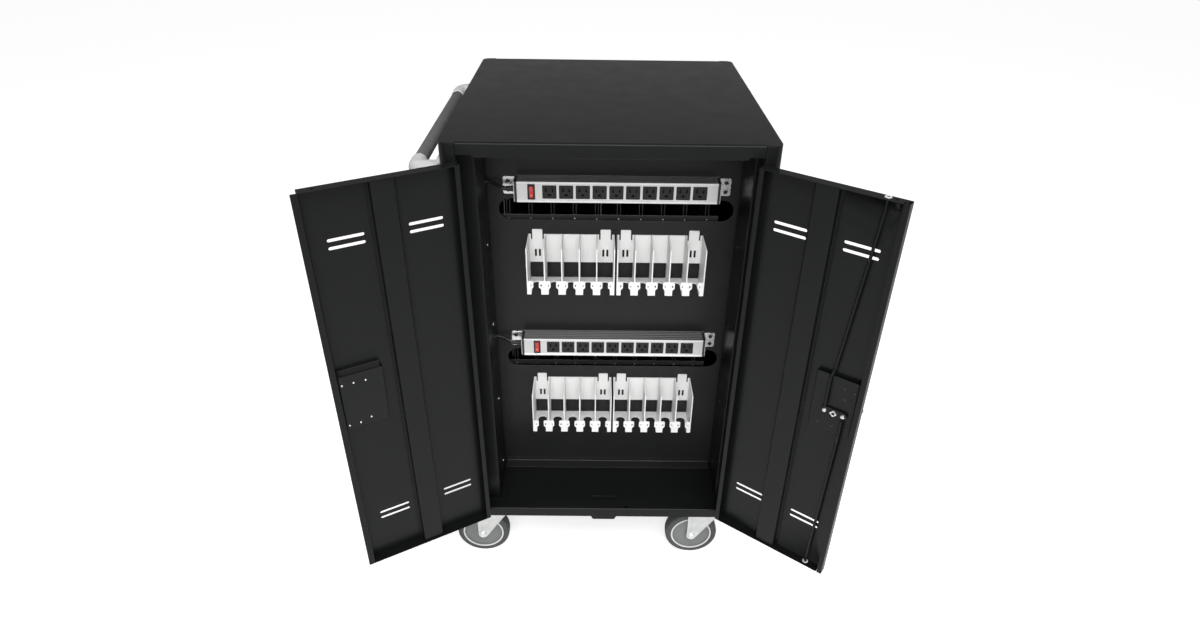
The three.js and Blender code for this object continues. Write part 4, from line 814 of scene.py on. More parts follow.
def base_parts():
    half = opening_half - GAP
    wing = base_high[X]
    wing_y = (JAMB_DEPTH + GAP, DEPTH - JAMB_DEPTH - GAP)
    floor_z = (FLOOR_Z - SHEET, FLOOR_Z)
    pan = [(0, SILL_Z), (0, FLOOR_Z, 3), (DEPTH, FLOOR_Z, 3), (DEPTH, SILL_Z)]
    parts = [fold(pan, -SHEET, (-half, half), SIDE_VIEW)]
    for sign in (-1, 1):
        wing_x = sorted((sign * (half - 1), sign * wing))
        skirt_x = sorted((sign * (wing - SHEET), sign * wing))
        parts.append(plate(rectangle(wing_x, wing_y), floor_z, PLAN))
        parts.append(plate(rectangle(skirt_x, wing_y), (SILL_Z, FLOOR_Z - 0.5), PLAN))
    tab = rounded([(-TAB_HALF, SILL_Z + 1), (-TAB_HALF + TAB_CHAMFER, base_low[Z], 3),
                   (TAB_HALF - TAB_CHAMFER, base_low[Z], 3), (TAB_HALF, SILL_Z + 1)])
    parts += [plate(tab, depth, ELEVATION) for depth in ((0, SHEET), (DEPTH - SHEET, DEPTH))]
    catch = [(CATCH_Y + CATCH_DEPTH, FLOOR_Z + SHEET), (CATCH_Y, FLOOR_Z + SHEET, 0.1),
             (CATCH_Y, FLOOR_Z + CATCH_HEIGHT)]
    return parts, fold(catch, SHEET, around(0, TAB_HALF), SIDE_VIEW)


pan_parts, catch_fold = base_parts()
base_pan = rod_bore(fuse(pan_parts), LOWER_ROD_X, FLOOR_Z, -1)
piece("base_pan", base_pan, POWDER_COAT, stands_for=["base_panel"], edge=0.4)
piece("floor_catch", catch_fold, POWDER_COAT, edge=0.3)
print("base pan at", FLOOR_Z, "mm")

# %% Partition, duct and liner
partition_low, partition_high = extents("middle_partition")
duct_low, duct_high = extents("left_cable_duct")
liner_low, liner_high = extents("right_rail")
PARTITION_Y = partition_high[Y] - SHEET
SLOT_DROP, SLOT_HEIGHT = 52, 46
SLOT_MARGINS = (20.5, 6.5)


def partition_sheet():
    slot_x = (duct_high[X] + SLOT_MARGINS[0], liner_low[X] - SLOT_MARGINS[1])
    slots = []
    for box in strips.values():
        z = middle_of(box)[Z] - SLOT_DROP
        slots.append(stadium(sum(slot_x) / 2, z, slot_x[1] - slot_x[0], SLOT_HEIGHT))
    face = rectangle((partition_low[X], partition_high[X]), (partition_low[Z], partition_high[Z]))
    return plate(face, (PARTITION_Y, PARTITION_Y + SHEET), ELEVATION, slots)


def partition_foot():
    foot_z = partition_low[Z] + SHEET
    line = [(partition_low[Y], foot_z), (PARTITION_Y - 0.2, foot_z, 2.5), (PARTITION_Y - 0.2, foot_z + 10)]
    return fold(line, -SHEET, (duct_high[X] + SHEET, liner_low[X] - SHEET), SIDE_VIEW)


upright = (duct_low[Z], duct_high[Z])
# The partition and its foot take the lighter coat, as painted light
piece("partition_sheet", partition_sheet(), PAINTED_LIGHT_COAT, stands_for=["middle_partition"], edge=0.4)
piece("partition_foot", partition_foot(), PAINTED_LIGHT_COAT, edge=0.3)
duct_line = [(duct_low[X], duct_low[Y]), (duct_high[X], duct_low[Y], 2.5), (duct_high[X], duct_high[Y])]
piece("cable_duct", fold(duct_line, SHEET, upright, PLAN), POWDER_COAT,
      stands_for=["left_cable_duct"], edge=0.4)
liner_line = [(liner_high[X], liner_low[Y]), (liner_low[X], liner_low[Y], 2.5), (liner_low[X], liner_high[Y])]
piece("right_liner", fold(liner_line, -SHEET, upright, PLAN), POWDER_COAT,
      stands_for=["right_rail"], edge=0.4)
RIVET, RIVET_Y, RIVET_HEIGHTS = (3.2, 1.6), 110, (804, 615, 415, 228)
duct_rivets = [moved(dome(*RIVET, TO_RIGHT), duct_high[X], RIVET_Y, z) for z in RIVET_HEIGHTS]
piece("duct_rivets", merge(duct_rivets), BRIGHT_ZINC)
liner_rivets = [moved(dome(*RIVET, TO_LEFT), liner_low[X], RIVET_Y, z) for z in RIVET_HEIGHTS]
piece("liner_rivets", merge(liner_rivets), DARK_SCREW)
print("partition with two cable slots")

# %% [markdown]
# ## Pieces that stay as CAD
# The shelf, the divider racks and the rails under the floor are straight folded sheets, and the CAD solids
# already have their true shape. They only need a finish and softer edges. A Weld modifier first joins the
# vertices that the file format had split, because a bevel needs connected faces.

# %% Dress the inner sheets
INNER_SHEETS = ["upper_shelf", "lower_divider_rack", "upper_divider_rack", "left_caster_rail",
                "right_caster_rail"]
for node in INNER_SHEETS:
    obj = NODES[node]
    obj.data.materials.clear()
    # The racks take the lighter coat, a painted highlight
    obj.data.materials.append(PAINTED_HIGHLIGHT_COAT if "rack" in node else POWDER_COAT)
    weld = obj.modifiers.new("weld", "WELD")
    weld.merge_threshold = 0.02 * MM
    soften(obj, 0.35)
RAIL_DROP, DIVIDERS, DIVIDER_PITCH = 42.5, 10, 45.5
rail_rivets = []
for level in ("lower", "upper"):
    rack_low, rack_high = extents(f"{level}_divider_rack")
    rail_rivets += [moved(dome(1.8, 1.2, TO_REAR), (at - (DIVIDERS - 1) / 2) * DIVIDER_PITCH, rack_low[Y],
                          rack_high[Z] - RAIL_DROP) for at in range(DIVIDERS)]
piece("rail_rivets", merge(rail_rivets), BRIGHT_ZINC)
print("inner sheets:", len(INNER_SHEETS))

# %% [markdown]
# ## Power strips
# A strip is an aluminium extrusion: a satin face with a raised lip above and below, faced with brighter
# aluminium as a painted highlight, and closed at the back by a dark ribbed cover. Ten sockets and a switch
# look out of windows in the face. The face is an extruded profile, and the windows are cut by a boolean, so
# every window has the face's real thickness.

# %% Strip faces and covers
LIP = 1.2
LIP_HEIGHT = 4
FACE_WALL = 1.8
OUTLET_PITCH, OUTLET_FIRST, OUTLET_SIZE, OUTLETS = 32.8, 68.5, 28, 10
SWITCH_AT, SWITCH_SIZE = 33, (15, 32)
END_CAP = 4.5
COVER_RIBS = 5


def strip_face(low, high):
    half = (high[Z] - low[Z]) / 2
    lip_z = half - LIP_HEIGHT
    lip, front = low[Y], low[Y] + LIP
    back = front + FACE_WALL
    profile = rounded([(back, half), (lip, half, 0.9), (lip, lip_z, 0.5), (front, lip_z, 0.4),
                       (front, -lip_z, 0.4), (lip, -lip_z, 0.5), (lip, -half, 0.9), (back, -half)])
    bar = plate(profile, (low[X], high[X]), SIDE_VIEW)
    through = (lip - 2, back + 2)
    size = OUTLET_SIZE / 2
    windows = [plate(rectangle(around(low[X] + OUTLET_FIRST + at * OUTLET_PITCH, size), around(0, size), 1.5),
                     through, ELEVATION) for at in range(OUTLETS)]
    switch = rectangle(around(low[X] + SWITCH_AT, SWITCH_SIZE[0] / 2), around(0, SWITCH_SIZE[1] / 2), 1)
    windows.append(plate(switch, through, ELEVATION))
    return cut(bar, windows)


def strip_cover(low, high):
    """Ribbed walls above and below, from the face to the partition."""
    half = (high[Z] - low[Z]) / 2
    front, back = low[Y] + LIP + FACE_WALL, high[Y]
    walls = []
    for sign in (-1, 1):
        pitch = (back - front) / COVER_RIBS
        line = []
        for rib in range(COVER_RIBS):
            y = front + rib * pitch
            line += [(y, sign * half), (y + 0.5 * pitch, sign * half), (y + 0.6 * pitch, sign * (half - 1.2)),
                     (y + 0.9 * pitch, sign * (half - 1.2))]
        inner = sign * (half - FACE_WALL - 0.8)
        line += [(back, sign * half), (back, inner), (front, inner)]
        walls.append(plate(rounded(line), (low[X], high[X]), SIDE_VIEW))
    return merge(walls)


for level, (low, high) in strips.items():
    z = middle_of((low, high))[Z]
    piece(f"{level}_strip_face", moved(strip_face(low, high), z=z), SATIN_ALUMINIUM,
          stands_for=[f"{level}_strip_housing"])
    piece(f"{level}_strip_cover", moved(strip_cover(low, high), z=z), DARK_COVER)
    # Thin plates of brighter aluminium over the lips: a painted highlight along the strip's top and bottom
    # edges
    lip_highlights = []
    for sign in (-1, 1):
        rail_z = sorted((sign * (high[Z] - z - 0.2), sign * (high[Z] - z - LIP_HEIGHT + 0.3)))
        rail = rectangle((low[Y] - 0.15, low[Y] + 0.4), rail_z, 0.2)
        lip_highlights.append(moved(plate(rail, (low[X] + 0.3, high[X] - 0.3), SIDE_VIEW), z=z))
    piece(f"{level}_strip_lip_highlights", merge(lip_highlights), HIGHLIGHT_ALUMINIUM)
    cap = rectangle((low[Y] - 0.3, high[Y] - 3), around(z, high[Z] - z + 0.3), 1.2)
    ends = ((low[X] - 0.2, low[X] + END_CAP), (high[X] - END_CAP, high[X] + 0.2))
    caps = merge([plate(cap, end, SIDE_VIEW) for end in ends])
    piece(f"{level}_strip_caps", caps, BLACK_MOULDING, edge=0.4)
print("strips", strips["upper"][1][X] - strips["upper"][0][X], "mm long")

# %% [markdown]
# ### Sockets and switch
# A socket is a rounded black pad with two blade slots, one a little longer, and a D-shaped earth hole. It is
# a plate with three holes, closed behind by a bar. The switch sits in a raised black bezel. Its rocker is a
# shallow V, and it keeps the tilt that the CAD joint gives it at rest.

# %% Sockets and bezels
WINDOW_PLAY, BEZEL_WALL = 0.35, 2
PAD = OUTLET_SIZE / 2 - WINDOW_PLAY
BLADE_GAP = 12.7
BLADES = ((-1, 9), (1, 8))
BLADE_WIDTH, BLADE_RISE = 3.2, 0.6
EARTH_RADIUS, EARTH_DROP = 3.2, 6.4
SOCKET_DEPTH = 9
BAR_DEPTH = 7
PAD_PROUD = 0.8


def earth_hole():
    """A round hole with a flat foot."""
    foot = -0.5 * EARTH_RADIUS
    turns = [math.radians(-30 + 240 * step / 14) for step in range(15)]
    return [Vector((EARTH_RADIUS * math.cos(turn), -EARTH_DROP + max(foot, EARTH_RADIUS * math.sin(turn))))
            for turn in turns]


def socket_pad(x, face):
    holes = [earth_hole()]
    for sign, height in BLADES:
        blade_x = around(sign * BLADE_GAP / 2, BLADE_WIDTH / 2)
        holes.append(rectangle(blade_x, (BLADE_RISE, BLADE_RISE + height)))
    pad = rectangle(around(0, PAD), around(0, PAD), 2.2)
    return moved(plate(pad, (face, face + SOCKET_DEPTH), ELEVATION, holes), x=x)


def switch_bezel(x, face):
    half_x, half_z = (size / 2 - WINDOW_PLAY for size in SWITCH_SIZE)
    outer = rectangle(around(x, half_x), around(0, half_z), 1.2)
    inner = rectangle(around(x, half_x - BEZEL_WALL), around(0, half_z - BEZEL_WALL), 0.6)
    return plate(outer, (face - 0.6, face + 12), ELEVATION, [inner])


for level, (low, high) in strips.items():
    z = middle_of((low, high))[Z]
    face = low[Y] + LIP - PAD_PROUD
    centres = [low[X] + OUTLET_FIRST + at * OUTLET_PITCH for at in range(OUTLETS)]
    pads = [socket_pad(x, face) for x in centres]
    bar_x = (low[X] + SWITCH_AT - SWITCH_SIZE[0] / 2, centres[-1] + PAD)
    bar_y = (face + SOCKET_DEPTH, face + SOCKET_DEPTH + BAR_DEPTH)
    backing = plate(rectangle(bar_x, around(0, SWITCH_SIZE[1] / 2), 2), bar_y, ELEVATION)
    piece(f"{level}_sockets", moved(merge(pads), z=z), SOCKET_BLACK,
          stands_for=[f"{level}_outlet_bank"], edge=0.35)
    piece(f"{level}_socket_bar", moved(backing, z=z), BLACK_MOULDING, edge=0.4)
    bezel = switch_bezel(low[X] + SWITCH_AT, face)
    piece(f"{level}_switch_bezel", moved(bezel, z=z), BLACK_MOULDING, edge=0.4)
print("sockets:", 2 * OUTLETS)

# %% Rockers
ROCKER_HALF = (4.05, 12.5)
ROCKER_CROWN, ROCKER_DEPTH = 2.2, 6.0
ROCKER_REST = math.radians(7)
MARK_PROUD = 0.12


def rocker_body():
    half_x, half_z = ROCKER_HALF
    profile = rounded([(0, 0, 6), (-ROCKER_CROWN, half_z, 0.8), (ROCKER_DEPTH, half_z - 1, 1),
                       (ROCKER_DEPTH, -half_z + 1, 1), (-ROCKER_CROWN, -half_z, 0.8)])
    return plate(profile, (-half_x, half_x), SIDE_VIEW)


def rocker_marks():
    """A bar and a ring, each lying on its half of the V."""
    slope = math.atan2(ROCKER_CROWN, ROCKER_HALF[1])
    bar = plate(rectangle(around(0, 0.4), around(0, 1.9), 0.3), (-MARK_PROUD, 0.3), ELEVATION)
    ring = plate(circle(0, 0, 1.8), (-MARK_PROUD, 0.3), ELEVATION, [circle(0, 0, 1.2)])
    marks = []
    for mark, sign in ((bar, 1), (ring, -1)):
        mark.transform(Matrix.Rotation(sign * slope, 4, "X"))
        marks.append(moved(mark, y=-0.55 * ROCKER_CROWN, z=sign * 0.55 * ROCKER_HALF[1]))
    return merge(marks)


for level in strips:
    pivot = Vector(JOINTS[f"{level}_rocker_tilt"]["pos_m"])
    place = Matrix.Translation(pivot) @ Matrix.Rotation(ROCKER_REST, 4, "X")
    piece(f"{level}_rocker_body", rocker_body(), RED_ROCKER, f"{level}_rocker", place,
          [f"{level}_rocker_switch"], edge=0.5)
    piece(f"{level}_rocker_marks", rocker_marks(), PALE_MARK, f"{level}_rocker", place)
print("two rockers")

# %% [markdown]
# ### Ears
# A zinc-plated ear closes each end of a strip and is screwed to the partition. It is an angle: an end plate
# and a flange with two holes, with rounded corners and a screw in each hole.

# %% Strip ears and their screws
EAR_HOLE_RADIUS, EAR_HOLE_SPACING, EAR_HOLE_MARGIN = 2.6, 19, 10
EAR_FLANGE_HALF, EAR_END_HALF = 18.5, 21.3
for level in strips:
    screws = []
    for name, side in (("left", -1), ("right", 1)):
        ear_low, ear_high = extents(f"{level}_{name}_strip_ear")
        near, tip = (ear_high[X], ear_low[X]) if side < 0 else (ear_low[X], ear_high[X])
        z = middle_of((ear_low, ear_high))[Z]
        flange_z = around(z, EAR_FLANGE_HALF)
        flange_y = (ear_high[Y] - SHEET, ear_high[Y])
        hole_x = tip - side * EAR_HOLE_MARGIN
        hole_heights = around(z, EAR_HOLE_SPACING / 2)
        holes = [circle(hole_x, hole_z, EAR_HOLE_RADIUS) for hole_z in hole_heights]
        outline = rounded([(near, flange_z[0]), (tip, flange_z[0], 4), (tip, flange_z[1], 4),
                           (near, flange_z[1])])
        flange = plate(outline, flange_y, ELEVATION, holes)
        end_x = sorted((near, near + side * SHEET))
        end = plate(rectangle(end_x, (ear_low[Y] + 0.5, ear_high[Y])), around(z, EAR_END_HALF), PLAN)
        piece(f"{level}_{name}_ear", fuse([flange, end]), BRIGHT_ZINC,
              stands_for=[f"{level}_{name}_strip_ear"], edge=0.35)
        screws += [moved(cross_screw(4.2, 2.4, TO_REAR), hole_x, flange_y[0], hole_z)
                   for hole_z in hole_heights]
    piece(f"{level}_ear_screws", merge(screws), DARK_SCREW)
print("ears and screws")

# %% [markdown]
# ## Adapter holders
# A holder is one white moulding: a back plate with snap tabs and slits, six ribs, a floor with a U-shaped
# cable notch in each bay, and T-shaped lugs at the front with two small holes each. The plates are fused into
# one solid, and a bevel then rounds outside edges and fills inside corners, as a mould does. All four holders
# share that one mesh.

# %% One holder
BAY, RIB, HOLDER_BAYS = 35.36, 2.2, 5
NOTCH_WIDTH, NOTCH_DEPTH = 20, 54
LUG_WIDTH, LUG_NECK, LUG_HEIGHT, LUG_SHOULDER = 24, 15, 28.6, 10
LUG_HOLE = (3.0, 5.5)
TAB_WIDTH, TAB_HEIGHT, SLIT_WIDTH, SLIT_DEPTH = 21, 11, 3, 12
PAIR_SPACING, PAIR_SIZE, PAIR_RISE = 8.4, (4.6, 17), 50
WINDOW_TOP = 37
holder_low, holder_high = extents("upper_left_adapter_holder")
HOLDER_WIDTH = holder_high[X] - holder_low[X]
HOLDER_DEPTH = holder_high[Y] - holder_low[Y]
HOLDER_HEIGHT = holder_high[Z] - holder_low[Z] - TAB_HEIGHT - RIB


def holder_back():
    """Back plate: its top edge steps up over the first and last bay, between two slits."""
    first = (BAY + RIB) / 2
    top, tab_top, slit = HOLDER_HEIGHT, HOLDER_HEIGHT + TAB_HEIGHT, HOLDER_HEIGHT - SLIT_DEPTH
    line = [(0, WINDOW_TOP), (HOLDER_WIDTH, WINDOW_TOP), (HOLDER_WIDTH, top, 1)]
    for x in (HOLDER_WIDTH - first, first):
        out, edge = TAB_WIDTH / 2 + SLIT_WIDTH, TAB_WIDTH / 2
        line += [(x + out, top, 1), (x + out, slit, 1), (x + edge, slit, 1), (x + edge, tab_top, 2),
                 (x - edge, tab_top, 2), (x - edge, slit, 1), (x - out, slit, 1), (x - out, top, 1)]
    line.append((0, top, 1))
    pair_z = (PAIR_RISE, PAIR_RISE + PAIR_SIZE[1])
    pairs = [rectangle(around(x + sign * PAIR_SPACING / 2, PAIR_SIZE[0] / 2), pair_z, 0.8)
             for x in (first, HOLDER_WIDTH - first) for sign in (-1, 1)]
    return plate(rounded(line), (-RIB, 0), ELEVATION, pairs)


def holder_floor():
    line = [(HOLDER_WIDTH, -HOLDER_DEPTH), (HOLDER_WIDTH, 0), (0, 0), (0, -HOLDER_DEPTH)]
    for bay in range(HOLDER_BAYS):
        x = RIB / 2 + (bay + 0.5) * BAY
        half = NOTCH_WIDTH / 2
        line += [(x - half, -HOLDER_DEPTH, 2), (x - half, NOTCH_DEPTH - HOLDER_DEPTH, 0.99 * half),
                 (x + half, NOTCH_DEPTH - HOLDER_DEPTH, 0.99 * half), (x + half, -HOLDER_DEPTH, 2)]
    return plate(rounded(line), (-RIB, 0), PLAN)


def holder_lug(middle):
    def inside(x):
        return min(max(x, 0), HOLDER_WIDTH)
    left, right = (inside(x) for x in around(middle, LUG_WIDTH / 2))
    neck_left, neck_right = (inside(x) for x in around(middle, LUG_NECK / 2))
    line = rounded([(neck_left, -RIB), (neck_right, -RIB), (neck_right, LUG_SHOULDER, 2),
                    (right, LUG_SHOULDER + right - neck_right, 2), (right, LUG_HEIGHT, 3),
                    (left, LUG_HEIGHT, 3), (left, LUG_SHOULDER + neck_left - left, 2),
                    (neck_left, LUG_SHOULDER, 2)])
    holes = [rectangle(around(x, LUG_HOLE[0] / 2), around(LUG_HEIGHT - 10, LUG_HOLE[1] / 2), 1.2)
             for x in around(middle, LUG_WIDTH / 2 - 4.5) if left + 2 < x < right - 2]
    return plate(line, (-HOLDER_DEPTH, RIB - HOLDER_DEPTH), ELEVATION, holes)


def holder_rib(middle):
    side = [(-HOLDER_DEPTH, -RIB), (0, -RIB), (0, HOLDER_HEIGHT), (-HOLDER_DEPTH, HOLDER_HEIGHT, 4)]
    return plate(rounded(side), around(middle, RIB / 2), SIDE_VIEW)


ribs = [RIB / 2 + bay * BAY for bay in range(HOLDER_BAYS + 1)]
holder_parts = [holder_back(), holder_floor(), *map(holder_rib, ribs), *map(holder_lug, ribs)]
holder_mesh = to_mesh("adapter_holder", fuse(holder_parts), WHITE_MOULDING)
for level in strips:
    for side in ("left", "right"):
        node = f"{level}_{side}_adapter_holder"
        low, high = extents(node)
        place = CABINET @ Matrix.Translation(Vector((low[X], high[Y], low[Z] + RIB)) * MM)
        set_up(f"{level}_{side}_holder", holder_mesh, "cabinet", place, [node], 0.45)
print(f"holder {HOLDER_WIDTH:.1f} mm wide, {len(holder_mesh.polygons)} faces")

# %% [markdown]
# ## Doors
# A door is a shallow pan: a face with its two long edges folded in and turned again into a lip, and a flange
# across each end. On a left door the lip of the free edge turns outwards, into the gap before the right door.
# The folds are one sheet, so they are one `fold` in plan. The end flanges stop short of an inner lip, as the
# open corner in the photograph shows. The vents are cut right through.

# %% Door pans
DOOR_DEPTH, DOOR_LIP, DOOR_BEND = 20, 10, 2.6
DOOR_LAP, LAP_CORNER = 11.25, 4
VENT_SIZE, VENT_PITCH, VENT_SIDE_MARGIN = (62, 6), 14.7, 33
VENT_MARGINS = (109, 104.5)
FLANGE_HOLE_RADIUS, FLANGE_HOLE_MARGIN = 3, 24
SPINDLE_HOLE = 4.6
pan_low, pan_high = extents("front_left_door", DOORS["front_left"][1])
DOOR_START = 0.75
DOOR_Z = (pan_low[Z], pan_high[Z])
FACE_Y = pan_high[Y] - DOOR_DEPTH
INNER_Y = pan_high[Y]
cam_box = extents("rear_lock_cam", LOCK_DOOR)
SPINDLE_X, SPINDLE_Z = -middle_of(cam_box)[X], middle_of(cam_box)[Z]


def vents(way, end):
    reach = (end - DOOR_START) / 2 - VENT_SIDE_MARGIN - VENT_SIZE[0] / 2
    groups = (DOOR_Z[0] + VENT_MARGINS[0], DOOR_Z[1] - VENT_MARGINS[1])
    rows = [row for group in groups for row in around(group, VENT_PITCH / 2)]
    return [plate(stadium(x, z, *VENT_SIZE), (FACE_Y - 2, FACE_Y + 4), ELEVATION)
            for z in rows for x in around(way * (DOOR_START + end) / 2, reach)]


def flange_hole(x, y, z, radius):
    return plate(circle(x, y, radius, 16), around(z, 3), PLAN)


def pan_sheet(way, end, lapped):
    """The folded sheet of a door: lip, edge, face, edge, and a lip in or a lap out."""
    line = [(DOOR_START + DOOR_LIP, INNER_Y), (DOOR_START, INNER_Y, 2), (DOOR_START, FACE_Y, DOOR_BEND),
            (end, FACE_Y, DOOR_BEND)]
    if lapped:
        line += [(end, INNER_Y - SHEET, 1), (end + DOOR_LAP, INNER_Y - SHEET)]
    else:
        line += [(end, INNER_Y, 2), (end - DOOR_LIP, INNER_Y)]
    sheet = fold([(way * point[0], *point[1:]) for point in line], way * SHEET, DOOR_Z, PLAN)
    if not lapped:
        return sheet
    tip = way * (end + DOOR_LAP)
    bottom, top = DOOR_Z
    inner = tip - way * LAP_CORNER
    outline = rounded([(-way, bottom - 1), (inner, bottom - 1), (tip, bottom, LAP_CORNER),
                       (tip, top, LAP_CORNER), (inner, top + 1), (-way, top + 1)])
    return combine(sheet, [plate(outline, (FACE_Y - 2, INNER_Y + 2), ELEVATION)], "INTERSECT")


def door_pan(way, end, lapped, rods=False):
    reach = end - 0.5 if lapped else end - DOOR_LIP - 1.5
    ends = sorted((way * (DOOR_START + 0.5), way * reach))
    flanges = [plate(rectangle(ends, (FACE_Y, INNER_Y)), depth, PLAN)
               for depth in ((DOOR_Z[0], DOOR_Z[0] + SHEET), (DOOR_Z[1] - SHEET, DOOR_Z[1]))]
    holes = vents(way, end)
    holes += [flange_hole(way * x, FACE_Y + DOOR_DEPTH / 2, DOOR_Z[1], FLANGE_HOLE_RADIUS)
              for x in (DOOR_START + FLANGE_HOLE_MARGIN, end - FLANGE_HOLE_MARGIN)]
    if not lapped:
        spindle_hole = circle(way * SPINDLE_X, SPINDLE_Z, SPINDLE_HOLE)
        holes.append(plate(spindle_hole, (FACE_Y - 2, FACE_Y + 4), ELEVATION))
    if rods:
        holes.append(flange_hole(way * UPPER_ROD_X, ROD_BACK_Y, DOOR_Z[1], ROD_BORE))
        holes.append(flange_hole(way * LOWER_ROD_X, ROD_BACK_Y, DOOR_Z[0], ROD_BORE))
    return cut(fuse([pan_sheet(way, end, lapped), *flanges]), holes)


for name, (way, place) in DOORS.items():
    lapped = name.endswith("left")
    low, high = extents(f"{name}_door", place)
    end = high[X] - DOOR_LAP if lapped else -low[X]
    pan = door_pan(way, end, lapped, rods=name == "rear_right")
    piece(f"{name}_door_pan", pan, POWDER_COAT, f"{name}_door", place, [f"{name}_door"], 0.45)
    print(f"{name} door pan, face {end - DOOR_START:.1f} mm wide")

# The shut front doors meet at a soft rubber lip on the lap. It leaves out the height where the tongue turns.
SEAL_REACH = (-2.5, 1.9)
SEAL_BREAK = 14
root, tip = (pan_high[X] + reach for reach in SEAL_REACH)
seal_line = rounded([(root, INNER_Y - 2.2, 0.5), (tip, INNER_Y - 1.6, 0.4), (tip, INNER_Y - 0.2, 0.4),
                     (root, INNER_Y + 0.6, 0.5)])
seal = [plate(seal_line, (DOOR_Z[0] + LAP_CORNER, SPINDLE_Z - SEAL_BREAK), PLAN),
        plate(seal_line, (SPINDLE_Z + SEAL_BREAK, DOOR_Z[1] - LAP_CORNER), PLAN)]
piece("front_door_seal", merge(seal), TYRE_RUBBER, "front_left_door", DOORS["front_left"][1])

# %% Stiffeners
STIFFENER_HALF, CROWN_HALF, CROWN_DEPTH = 26, 21, 14
INNER_FACE_Y = FACE_Y + SHEET + GAP
for name, (way, place) in DOORS.items():
    low, high = extents(f"{name}_stiffener", place)
    middle = middle_of((low, high))[X]
    foot, crown = INNER_FACE_Y + SHEET, INNER_FACE_Y + CROWN_DEPTH
    left, right = around(middle, CROWN_HALF)
    hat = [(middle - STIFFENER_HALF, foot), (left, foot, 1.6), (left, crown, 2.6),
           (right, crown, 2.6), (right, foot, 1.6), (middle + STIFFENER_HALF, foot)]
    piece(f"{name}_hat_stiffener", fold(hat, -SHEET, (low[Z], high[Z]), PLAN), POWDER_COAT, f"{name}_door",
          place, [f"{name}_stiffener"], 0.4)
print("four stiffeners")

# %% [markdown]
# ## Hinges
# Three leaf hinges carry each door: a lower knuckle on the post, an upper one on the door, and a pin through
# both with a domed head. Knuckles are turned, with a small chamfer, and the leaf is a rounded plate. The two
# halves ride on different bodies, so the hinge works in every pose.

# %% Hinge knuckles
BARREL, KNUCKLE, LEAF_LENGTH, LEAF_THICKNESS = 5.5, 30, 19, 3.2
HINGE_PLAY = 0.25
HINGE_MARGIN = 70
hinge_line = [DOOR_Z[0] + HINGE_MARGIN, sum(DOOR_Z) / 2, DOOR_Z[1] - HINGE_MARGIN]


def knuckle(z0, leaf_y, way):
    """A barrel on the hinge line and its leaf, which lies on a face."""
    ends = [(0, z0), (BARREL - 0.5, z0), (BARREL, z0 + 0.5), (BARREL, z0 + KNUCKLE - 0.5),
            (BARREL - 0.5, z0 + KNUCKLE), (0, z0 + KNUCKLE)]
    leaf = plate(rectangle(sorted((0, way * LEAF_LENGTH)), (z0, z0 + KNUCKLE), 1.5),
                 (leaf_y - LEAF_THICKNESS, leaf_y), ELEVATION)
    return fuse([turned(ends, PLAN, 24), leaf])


for name, (way, place) in DOORS.items():
    on_door = [knuckle(level + HINGE_PLAY, FACE_Y, way) for level in hinge_line]
    piece(f"{name}_door_knuckles", merge(on_door), POWDER_COAT, f"{name}_door", place)
    shut = door_frame(f"{name}_door_hinge", 0 if name.startswith("rear") else math.pi)
    on_post = [knuckle(level - KNUCKLE - HINGE_PLAY, FACE_Y, -way) for level in hinge_line]
    piece(f"{name}_post_knuckles", merge(on_post), POWDER_COAT, "cabinet", shut)
print("hinges:", 3 * len(DOORS))

# %% [markdown]
# ## Strike cover and lock
# The left rear door carries a sloping cover over the strike, held by two rows of rivets. The right one has a
# shallow lock box, a cam with two bright pins, and two rods that the cam pushes up and down. The covers start
# as closed blocks: their outer edges are rounded, the open sides deleted, and the skin given a thickness.

# %% Strike cover and lock box


def open_box(profile, ends, bend, is_open):
    """A shell from a side view: rounded outside, open where is_open(normal) is true."""
    bm = plate([Vector(point) for point in profile], ends, SIDE_VIEW)
    bmesh.ops.dissolve_limit(bm, angle_limit=0.01, verts=bm.verts, edges=bm.edges)
    bmesh.ops.recalc_face_normals(bm, faces=bm.faces)
    opened = [face for face in bm.faces if is_open(face.normal)]
    rims = {edge for face in opened for edge in face.edges}
    bends = [edge for edge in bm.edges if edge not in rims]
    bmesh.ops.delete(bm, geom=opened, context="FACES")
    bmesh.ops.bevel(bm, geom=bends, offset=bend, segments=4, profile=0.5, affect="EDGES")
    bmesh.ops.solidify(bm, geom=bm.faces[:], thickness=SHEET)
    return bm


def back_or_top(normal):
    return normal.y < -0.9 or normal.z > 0.9


def sloped_cover(low, high, foot):
    """A cover that stands off at its open top and slopes in to its foot."""
    profile = [(low[Y], low[Z]), (low[Y] + foot, low[Z]), (high[Y], high[Z]), (low[Y], high[Z])]
    return open_box(profile, (low[X], high[X]), 2.0, back_or_top)


def mouth_flange(low, high):
    """The edge of the cover's back flange above its mouth, drawn in the lighter coat as a painted highlight
    line.
    """
    line = [(low[Y], high[Z] - 12), (low[Y], high[Z] + 4, 0.8), (low[Y] + 3, high[Z] + 4)]
    return fold(line, -SHEET, (low[X] + 2, high[X] - 2), SIDE_VIEW)


def on_slope(low, high, foot, places, radius, height):
    """Rivets at (x, z) places on such a cover."""
    tilt = math.atan2(high[Y] - low[Y] - foot, high[Z] - low[Z])
    heads = []
    for x, z in places:
        head = dome(radius, height, TO_FRONT)
        head.transform(Matrix.Rotation(-tilt, 4, "X"))
        heads.append(moved(head, x, high[Y] - (high[Z] - z) * math.tan(tilt), z))
    return merge(heads)


